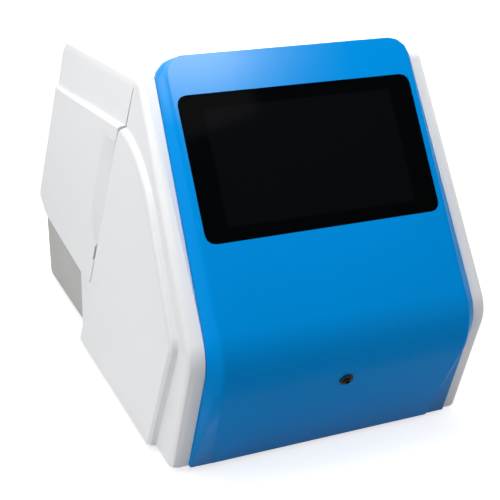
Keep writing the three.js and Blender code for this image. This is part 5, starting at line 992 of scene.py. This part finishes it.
@dataclass
class Assembly:
    """A sub-assembly that dresses its own nodes and adds the pieces too small for the solids."""

    made: list[Piece] = field(default_factory=list, init=False)

    def dress(
        self, node: str, finish: Finish, easing: Easing = SMALL, regions: Sequence[Region] = (),
    ) -> None:
        """Replaces a CAD node by the same form with eased edges and a finish.

        Args:
            node: The node's name.
            finish: Its finish.
            easing: How its edges are broken.
            regions: Its stretches with a finish of their own.
        """
        mesh = merged(node)
        ease(mesh, easing)
        body = frame["nodes"][node]["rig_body"]
        angle = easing.smooth_angle
        self.made.append(settle(mesh, f"{node}_piece", finish, body, (node,), angle, regions))

    def add(self, mesh: Mesh, name: str, finish: Finish, body: str = "base") -> None:
        """Adds a piece that the solids leave out.

        Args:
            mesh: The mesh, in its place.
            name: The piece's name.
            finish: Its finish.
            body: The body that carries it.
        """
        bmesh.ops.recalc_face_normals(mesh, faces=mesh.faces)
        self.made.append(settle(mesh, name, finish, body))

    def screws(
        self, name: str, screw: Screw, places: Iterable[Vector], axis: Vector = UP, finish: Finish = STEEL,
        body: str = "base",
    ) -> None:
        """Adds a set of like screws as one piece.

        Args:
            name: The piece's name.
            screw: The kind of screw.
            places: Where the heads stand.
            axis: Where they point.
            finish: Their finish.
            body: The body that carries them.
        """
        mesh = bmesh.new()
        for number, place in enumerate(places):
            screw.add(mesh, aimed(place, axis, NEXT_TURN * number + FIRST_TURN))
        self.add(mesh, name, finish, body)

    def build(self) -> None:
        """Makes every piece of the sub-assembly."""

    def report(self) -> None:
        """Logs what was made."""
        for piece in self.made:
            log.info("%s made as a %s", piece.name, piece.type.lower())


@dataclass
class Casing(Assembly):
    """White housing, lifting cover and blue fascia."""

    def build(self) -> None:
        """Makes the three mouldings."""
        self.dress("front_housing", WHITE, SHELL)
        self.dress("rear_cover", WHITE, SHELL)
        self.dress("front_fascia", BLUE, SHELL)


@dataclass
class Display(Assembly):
    """Touch display with its bracket, driver board and flat cable."""

    def build(self) -> None:
        """Makes the stack behind the window."""
        self.dress("display_glass", TOUCH_GLASS, FINE)
        self.dress("display_panel", BLACK)
        self.dress("display_bracket", STEEL, FINE)
        self.dress("display_board", BOARD_GREEN, FINE)
        self.dress("display_cable", NATURAL, BARE)


@dataclass
class SamplePort(Assembly):
    """Sample port with its bushing and tube."""

    def build(self) -> None:
        """Makes the port."""
        self.dress("sipper_grommet", RUBBER)
        self.dress("sipper_ferrule", DARK_STEEL, FINE)
        self.dress("aspiration_tube", SILICONE, BARE)


@dataclass
class Chassis(Assembly):
    """Folded chassis with its feet, deck and rear panel."""

    deck_top: float = 92.3
    deck_columns: tuple[float, ...] = (-94.0, 94.0)
    deck_rows: tuple[float, ...] = (-56.0, 35.0, 126.0)
    floor_under: float = 4.0
    board_columns: tuple[float, ...] = (-35.0, 83.0)
    board_rows: tuple[float, ...] = (-72.4, 35.6)

    def build(self) -> None:
        """Makes the sheet-metal structure and its screws."""
        self.dress("base_chassis", SHEET_GREY)
        for number in range(1, 5):
            self.dress(f"foot_{number}", RUBBER)
        self.dress("deck_plate", STEEL)
        self.dress("rear_panel", SHEET_GREY)
        deck = [at(x, y, self.deck_top) for x in self.deck_columns for y in self.deck_rows]
        self.screws("deck_screws", PAN_M3, deck)
        self.screws("standoff_screws", PAN_M3, self.board_holes(self.floor_under), -UP)

    @classmethod
    def board_holes(cls, height: float) -> list[Vector]:
        """Gives the places of the main board's screws at a height."""
        return [at(x, y, height) for y in cls.board_rows for x in cls.board_columns]


@dataclass
class RearFittings(Assembly):
    """Fan, mains inlet, power switch, data sockets and waste fitting."""

    panel_face: float = 190.58
    panel_columns: tuple[float, ...] = (-95.2, 95.2)
    panel_rows: tuple[float, ...] = (12.0, 74.0)
    height: float = 41.0
    fan_x: float = 50.0
    fan_face: float = 192.9
    fan_hole: float = 25.0
    inlet_x: float = -66.0
    inlet_face: float = 193.08
    inlet_hole: float = 20.0
    off_mark: Place = (-22.0, 191.9, 46.2)
    off_circle: tuple[float, ...] = (1.3 * MM, 1.9 * MM, 0.14 * MM)
    on_mark: Place = (-22.0, 193.44, 36.4)
    on_bar: Place = (0.7, 3.8, 0.2)
    on_lean: Place = (0.0, 0.951, 0.309)
    inlet_pins: tuple[Region, ...] = tuple(
        Region(BRASS, at(x - 2.3, 178.0, z - 0.3), at(x + 0.3, 187.4, z + 4.3))
        for x, z in ((-72.0, 37.0), (-65.0, 41.0), (-58.0, 37.0))
    )
    usb_tongues: tuple[Region, ...] = tuple(
        Region(CHIP_BLACK, at(-3.3, 179.2, z), at(7.3, 189.7, z + 2.2)) for z in (36.7, 44.3)
    )

    def build(self) -> None:
        """Makes what the rear panel carries."""
        self.dress("fan_frame", BLACK)
        self.dress("fan_rotor", BLACK, FINE)
        self.dress("fan_guard", BRIGHT_STEEL, FINE)
        self.dress("power_inlet", BLACK, SMALL, self.inlet_pins)
        self.dress("switch_housing", BLACK)
        self.dress("power_rocker", BLACK)
        self.dress("power_lead", RUBBER, BARE)
        self.dress("usb_port", BRIGHT_STEEL, FINE, self.usb_tongues)
        self.dress("waste_fitting", NATURAL, FINE)
        self.make_screws()
        self.make_marks()

    def make_screws(self) -> None:
        """Adds the screws of the panel, the fan and the inlet."""
        edge = [at(x, self.panel_face, z) for x in self.panel_columns for z in self.panel_rows]
        self.screws("panel_screws", PAN_M3, edge, BACK)
        steps = (-self.fan_hole, self.fan_hole)
        fan = [at(self.fan_x + x, self.fan_face, self.height + z) for x in steps for z in steps]
        self.screws("fan_screws", PAN_M4, fan, BACK)
        ends = (self.inlet_x - self.inlet_hole, self.inlet_x + self.inlet_hole)
        self.screws("inlet_screws", PAN_M3, [at(x, self.inlet_face, self.height) for x in ends], BACK)

    def make_marks(self) -> None:
        """Prints a circle on the rocker's flush half and a bar on its proud half."""
        off = bmesh.new()
        band(off, aimed(at(*self.off_mark), BACK), *self.off_circle, sides=28)
        self.add(off, "rocker_off_mark", INK_WHITE, "rocker")
        on = bmesh.new()
        block(on, aimed(at(*self.on_mark), Vector(self.on_lean)), at(*self.on_bar), 0.04 * MM)
        self.add(on, "rocker_on_mark", INK_WHITE, "rocker")


@dataclass
class CoverHinges(Assembly):
    """Two butt hinges between the rear panel and the cover."""

    middle: float = 62.0
    spread: float = 11.0
    fixed_face: tuple[float, float] = (192.4, 80.0)
    moving_face: tuple[float, float] = (187.4, 95.7)
    cover_lean: Place = (0.0, 0.829, 0.559)

    def build(self) -> None:
        """Makes both hinges and their screws."""
        for side in ("left", "right"):
            for part in ("fixed_leaf", "moving_leaf", "pin"):
                self.dress(f"hinge_{part}_{side}", STEEL, FINE)
        spots = [side * self.middle + step for side in (-1, 1) for step in (-self.spread, self.spread)]
        fixed = [at(x, *self.fixed_face) for x in spots]
        self.screws("fixed_leaf_screws", FLAT_M3, fixed, BACK)
        moving = [at(x, *self.moving_face) for x in spots]
        self.screws("moving_leaf_screws", FLAT_M3, moving, Vector(self.cover_lean), body="cover")


@dataclass
class Photometer(Assembly):
    """Lamp, lens, filter wheel, flow cell and detector."""

    lamp_x: float = -68.0
    line_y: float = 44.58
    housing_top: float = 144.3
    filament_z: float = 122.3
    filament_foot: float = 110.0
    filament_turns: int = 7
    filament_steps: int = 8
    filament_radius: float = 1.1 * MM
    filament_length: float = 7.0 * MM
    filament_wire: float = 0.16 * MM
    housing_holes: tuple[float, float] = (14.5, 15.5)
    bracket_x: float = -1.0
    bracket_top: float = 95.6
    bracket_rows: tuple[float, ...] = (19.8, 69.4)
    lamp_base: Region = Region(PORCELAIN, at(-77.0, 36.0, 97.0), at(-59.0, 53.0, 109.7))
    motor_caps: tuple[Region, ...] = tuple(
        Region(ALUMINIUM, at(x, 26.0, 129.0), at(x + 6.2, 63.0, 165.0)) for x in (-8.3, 8.7)
    )
    cell_cap: Region = Region(NATURAL, at(14.0, 38.0, 139.2), at(29.0, 52.0, 149.0))
    detector_can: Region = Region(SOCKET_CREAM, at(35.5, 33.0, 120.0), at(43.6, 56.0, 128.6))

    def build(self) -> None:
        """Makes the optical bench from the lamp to the detector."""
        self.dress("lamp_housing", ALUMINIUM)
        self.dress("lamp", CLEAR_GLASS, SMALL, [self.lamp_base])
        self.make_filament()
        self.dress("lens_barrel", BLACK)
        self.dress("lens", CLEAR_GLASS, BARE)
        self.dress("filter_wheel", ALUMINIUM, FINE)
        for number, tint in enumerate(FILTER_TINTS, 1):
            tinted = Glazed(f"filter_glass_{number}", "optical_glass", tint, 0.05)
            self.dress(f"filter_{number}", tinted, FINE)
        self.dress("wheel_bracket", SHEET_GREY)
        self.dress("wheel_motor", BLACK, SMALL, self.motor_caps)
        self.dress("flow_cell_block", ALUMINIUM)
        self.dress("flow_cell", CLEAR_GLASS, FINE, [self.cell_cap])
        self.dress("detector_board", BOARD_GREEN, FINE, [self.detector_can])
        across, along = self.housing_holes
        corners = [(self.lamp_x + x, self.line_y + y) for x in (-across, across) for y in (-along, along)]
        caps = [at(*corner, self.housing_top) for corner in corners]
        self.screws("lamp_housing_screws", CAP_M3, caps, UP, BRIGHT_STEEL)
        feet = [at(self.bracket_x, y, self.bracket_top) for y in self.bracket_rows]
        self.screws("bracket_screws", PAN_M3, feet)

    def make_filament(self) -> None:
        """Winds the lamp's filament and stands it on two posts inside the bulb."""
        steps = self.filament_turns * self.filament_steps
        start = at(self.lamp_x, self.line_y, self.filament_z) - BACK * self.filament_length / 2
        coil = []
        for step in range(steps + 1):
            turn = FULL_TURN * self.filament_turns * step / steps
            round_axis = Vector((math.cos(turn), 0, math.sin(turn))) * self.filament_radius
            coil.append(start + round_axis + BACK * self.filament_length * step / steps)
        feet = [Vector((end.x, end.y, self.filament_foot * MM)) for end in (coil[0], coil[-1])]
        lead = Lead(BRIGHT_STEEL, self.filament_wire)
        self.made.append(lead.lay([feet[0], *coil, feet[1]], "lamp_filament", "base"))


@dataclass
class Pump(Assembly):
    """Peristaltic pump and its tubing."""

    hub: Place = (55.0, -24.42, 110.0)
    foot_columns: tuple[float, ...] = (31.5, 78.5)
    foot_y: float = 3.6
    foot_top: float = 95.6
    motor_caps: tuple[Region, ...] = tuple(
        Region(ALUMINIUM, at(33.0, -46.0, z), at(77.0, -3.0, z + 4.2)) for z in (55.9, 85.9)
    )

    def build(self) -> None:
        """Makes the pump and its screws."""
        self.dress("pump_motor", BLACK, SMALL, self.motor_caps)
        self.dress("pump_track", NATURAL)
        self.dress("pump_rotor", BLACK, FINE)
        for number in range(1, 4):
            self.dress(f"pump_roller_{number}", NATURAL)
        self.dress("pump_tube", SILICONE, BARE)
        feet = [at(x, self.foot_y, self.foot_top) for x in self.foot_columns]
        self.screws("track_screws", PAN_M3, feet)
        self.screws("rotor_screw", CAP_M3, [at(*self.hub)], UP, BRIGHT_STEEL, "rotor")


@dataclass
class Electronics(Assembly):
    """Main board and power supply in the chassis."""

    board_top: float = 16.6
    face: float = 16.65
    socket_x: float = 83.0
    sockets: tuple[float, ...] = (-42.4, -18.4, 5.6)
    chips: tuple[Place, ...] = ((-8.5, -18.0, 18.4), (-8.5, 15.3, 9.4), (25.8, -41.1, 9.4))
    terminals: Region = Region(CHIP_BLACK, at(-92.2, 145.4, 8.4), at(-39.8, 155.8, 23.6))
    first_terminal: Place = (-87.0, 150.6, 23.3)
    terminal_step: float = 8.0
    terminal_count: int = 6

    def board_regions(self) -> list[Region]:
        """Gives the chips, the heat sink and the sockets on the main board.

        Returns:
            Their regions.
        """
        chips = [
            Region(CHIP_BLACK, at(x, y, self.face), at(x + 18.3, y + size, 18.3)) for x, y, size in self.chips
        ]
        sink = Region(ALUMINIUM, at(47.3, 2.4, self.face), at(65.7, 20.8, 32.0))
        sockets = [
            Region(SOCKET_CREAM, at(79.8, y - 4.7, self.face), at(86.2, y + 4.7, 24.0)) for y in self.sockets
        ]
        flat = Region(SOCKET_CREAM, at(-33.2, -75.6, self.face), at(-6.8, -69.2, 24.0))
        return [*chips, sink, *sockets, flat]

    def build(self) -> None:
        """Makes the boards and what is soldered or screwed to them."""
        self.dress("main_board", BOARD_GREEN, FINE, self.board_regions())
        self.dress("power_supply", STEEL, FINE, [self.terminals])
        self.screws("board_screws", PAN_M3, Chassis.board_holes(self.board_top))
        x, y, z = self.first_terminal
        ends = [at(x + self.terminal_step * step, y, z) for step in range(self.terminal_count)]
        self.screws("terminal_screws", PAN_M3, ends, UP, BRASS)


@dataclass(frozen=True)
class Loom:
    """Wires of the base that run side by side, loosely twisted.

    The knots are in millimetres, and the ties are the numbers of the knots that carry one.
    """

    name: str
    leads: tuple[Lead, ...]
    knots: tuple[Place, ...]
    ties: tuple[int, ...] = ()
    twist: float = 0.7
    spread: float = 1.25
    flatness: float = 0.6
    tie_reach: float = 2.6
    tie_wall: float = 0.5 * MM
    tie_width: float = 2.2 * MM

    def run(self, number: int) -> list[Vector]:
        """Gives the places that one of the wires passes.

        Args:
            number: The wire's number, from 0.

        Returns:
            The places.
        """
        spread = self.spread * self.leads[number].radius if len(self.leads) > 1 else 0.0
        places = []
        for step, knot in enumerate(self.knots):
            angle = FULL_TURN * number / len(self.leads) + self.twist * step
            aside = Vector((math.cos(angle), self.flatness * math.cos(angle), math.sin(angle)))
            places.append(at(*knot) + aside * spread)
        return places

    def tie(self, mesh: Mesh) -> None:
        """Adds the loom's cable ties.

        Args:
            mesh: The mesh that takes them.
        """
        reach = self.tie_reach * self.leads[0].radius
        for tie in self.ties:
            before, here, after = (at(*self.knots[tie + step]) for step in (-1, 0, 1))
            band(mesh, aimed(here, after - before), reach, reach + self.tie_wall, self.tie_width)


FOUR_LEADS = tuple(Lead(finish) for finish in WIRES)
TWO_LEADS = FOUR_LEADS[:2]
SIGNAL_LEAD = (Lead(WIRE_GREY, 0.9 * MM),)
LAMP_LEADS = (Lead(WIRE_WHITE, 0.9 * MM),) * 2
LOOMS = (
    Loom("pump_lead", FOUR_LEADS, (
        (75, -24, 64), (81, -24, 58), (86, -21, 44), (83.6, -18.6, 35),
        (83, -18.4, 28),
    )),
    Loom("fan_lead", TWO_LEADS, (
        (77.5, 174.5, 20), (80, 168, 14), (88, 140, 9), (91, 80, 8.5), (91, 28, 12),
        (86.5, 9, 34), (83.2, 5.8, 33), (83, 5.6, 28),
    ), (3,)),
    Loom("wheel_lead", FOUR_LEADS, (
        (4, 61, 142), (5, 67, 134), (7, 76, 108), (12, 92, 95.5), (30, 128, 95),
        (40, 144, 94.8), (47, 151, 84), (60, 151, 48), (84, 138, 16),
        (94, 90, 9.5), (94, -10, 11), (88.5, -38, 32), (83.6, -42.2, 34), (83, -42.4, 28),
    ), (4, 9)),
    Loom("detector_lead", SIGNAL_LEAD, (
        (42, 50, 124), (47, 53, 121), (48, 66, 106), (38, 92, 95), (33, 127, 95),
        (43.5, 144, 94.8), (50.5, 151.5, 84), (63, 153, 48), (86, 140, 12.5),
        (96.5, 90, 9.5), (96.5, -10, 11), (88.5, -44, 32), (83.8, -43.6, 34), (83, -43.6, 28),
    )),
    Loom("lamp_lead", LAMP_LEADS, (
        (-68, 63, 95.4), (-68, 72, 94.4), (-71, 104, 94.2), (-77, 138, 94.2),
        (-79, 150, 88), (-84, 159, 66), (-86, 163, 34), (-85, 160, 25),
        (-84, 152, 25.2),
    ), (3,)),
    Loom("supply_lead", TWO_LEADS, (
        (-47, 152, 25.2), (-44, 158.5, 27.5), (-33, 158, 27.5), (-29, 140, 12),
        (-28, 90, 8.5), (-31, 56, 9), (-44, 38, 13), (-44, 26, 25), (-35, 22, 22),
    ), (4,)),
)


@dataclass
class Wiring(Assembly):
    """Leads between the boards and the motors, the lamp and the fan, with connectors and ties."""

    plug_height: float = 26.6
    plug_size: Place = (4.6, 8.0, 5.2)
    supply_plug: Place = (-35.0, 22.0, 19.8)
    supply_plug_size: Place = (6.0, 8.0, 6.0)
    chamfer_share: float = 0.08

    def build(self) -> None:
        """Lays every lead; each is held at both ends."""
        plugs = bmesh.new()
        for y in Electronics.sockets:
            self.make_plug(plugs, at(Electronics.socket_x, y, self.plug_height), at(*self.plug_size))
        self.make_plug(plugs, at(*self.supply_plug), at(*self.supply_plug_size))
        self.add(plugs, "wire_plugs", NATURAL)
        for loom in LOOMS:
            for number, lead in enumerate(loom.leads):
                self.made.append(lead.lay(loom.run(number), f"{loom.name}_{number + 1}", "base"))
            if loom.ties:
                rings = bmesh.new()
                loom.tie(rings)
                self.add(rings, f"{loom.name}_ties", NATURAL)

    def make_plug(self, mesh: Mesh, place: Vector, size: Vector) -> None:
        """Adds a wire connector: a housing with a lip round its mouth and a latch.

        Args:
            mesh: The mesh.
            place: The housing's middle.
            size: Its size along X, Y and Z.
        """
        lip = Vector((size.x * 1.12, size.y * 1.12, size.z * 0.25))
        latch = Vector((size.x * 0.3, size.y * 0.2, size.z * 0.7))
        lift = Vector((0, 0, size.z * 0.38))
        proud = Vector((0, -size.y * 0.55, 0))
        for middle, extent in ((place, size), (place + lift, lip), (place + proud, latch)):
            block(mesh, Matrix.Translation(middle), extent, min(extent) * self.chamfer_share)


@dataclass(frozen=True)
class Lamp:
    """A square soft light that looks at the analyzer's middle.

    The power is in watts, and the size is the side of the diffuser.
    """

    name: str
    place: Place
    size: float
    power: float
    target: Place = (0.0, 0.0, 0.12)

    def hang(self) -> None:
        """Puts the light in its place."""
        data = bpy.data.lights.new(self.name, "AREA")
        data.shape = "SQUARE"
        data.size = self.size
        data.energy = self.power
        lamp = placed(self.name, data)
        lamp.location = self.place
        aim = Vector(self.target) - Vector(self.place)
        lamp.rotation_euler = aim.to_track_quat("-Z", "Y").to_euler()


LAMPS = (
    Lamp("top_light", (0.2, 0.4, 2.6), 2.0, 5.0),
    Lamp("near_light", (-0.15, -0.15, 0.80), 0.4, 2.8),
    Lamp("left_light", (-1.6, -0.3, 0.5), 1.0, 6.4),
    Lamp("low_light", (1.0, -1.4, 0.2), 0.8, 1.6),
    Lamp("front_light", (-0.10, -0.45, 0.75), 0.3, 0.5),
    Lamp("side_light", (-0.60, -0.10, 0.60), 0.4, 1.1),
    Lamp("sheen_light", (0.25, -0.70, 0.95), 0.16, 1.7),
    Lamp("back_light", (0.6, 2.4, 0.55), 1.4, 24.0),
    Lamp("right_light", (2.0, 0.4, 0.5), 1.2, 9.0),
)


@dataclass
class Studio:
    """Plain white studio with the photograph's viewpoint."""

    lens: float = 80.15
    sensor: float = 36.0
    camera_place: Place = (-0.3028, -0.75802, 0.4044)
    yaw: float = math.radians(22.97)
    pitch: float = math.radians(21.70)
    roll: float = math.radians(0.05)
    nearest: float = 10 * MM
    farthest: float = 100.0
    floor_size: float = 12.0
    world_light: float = 0.06

    def build(self) -> None:
        """Makes the camera, the world, the floor and the lights."""
        self.make_camera()
        self.make_world()
        self.make_floor()
        for lamp in LAMPS:
            lamp.hang()
        bpy.context.scene.view_settings.view_transform = "Standard"

    def make_camera(self) -> None:
        """Places the camera as the photograph's was."""
        data = bpy.data.cameras.new("photo_camera")
        data.lens = self.lens
        data.sensor_width = self.sensor
        data.sensor_fit = "HORIZONTAL"
        data.clip_start = self.nearest
        data.clip_end = self.farthest
        camera = placed("photo_camera", data)
        camera.location = self.camera_place
        camera.rotation_euler = (math.pi / 2 - self.pitch, self.roll, -self.yaw)
        bpy.context.scene.camera = camera

    def make_world(self) -> None:
        """Gives an even white surround that the camera sees as plain white."""
        world = bpy.data.worlds.new("white_surround")
        world.use_nodes = True
        graph = Graph(world.node_tree)
        strength = graph.remap(graph.background(), 0.0, 1.0, self.world_light, 1.0)
        light = graph.node("ShaderNodeBackground", {"Color": WHITE_LIGHT, "Strength": strength})
        graph.node("ShaderNodeOutputWorld", {"Surface": light.outputs[0]})
        bpy.context.scene.world = world

    def make_floor(self) -> None:
        """Lays a white floor that still takes the analyzer's shadow."""
        mesh = bmesh.new()
        bmesh.ops.create_grid(mesh, x_segments=1, y_segments=1, size=self.floor_size / 2)
        data = bpy.data.meshes.new("floor")
        mesh.to_mesh(data)
        mesh.free()
        data.materials.append(FLOOR_WHITE.material())
        floor = placed("floor", data)


def main() -> None:
    """Builds the analyzer, then the studio round it."""
    logging.basicConfig(level=logging.INFO, format="%(name)s %(message)s")
    assemblies: Iterable[Assembly] = (
        Casing(), Display(), SamplePort(), Chassis(), RearFittings(), CoverHinges(), Photometer(), Pump(),
        Electronics(), Wiring(),
    )
    for assembly in assemblies:
        assembly.build()
        assembly.report()
    Studio().build()


if __name__ == "__main__":
    main()
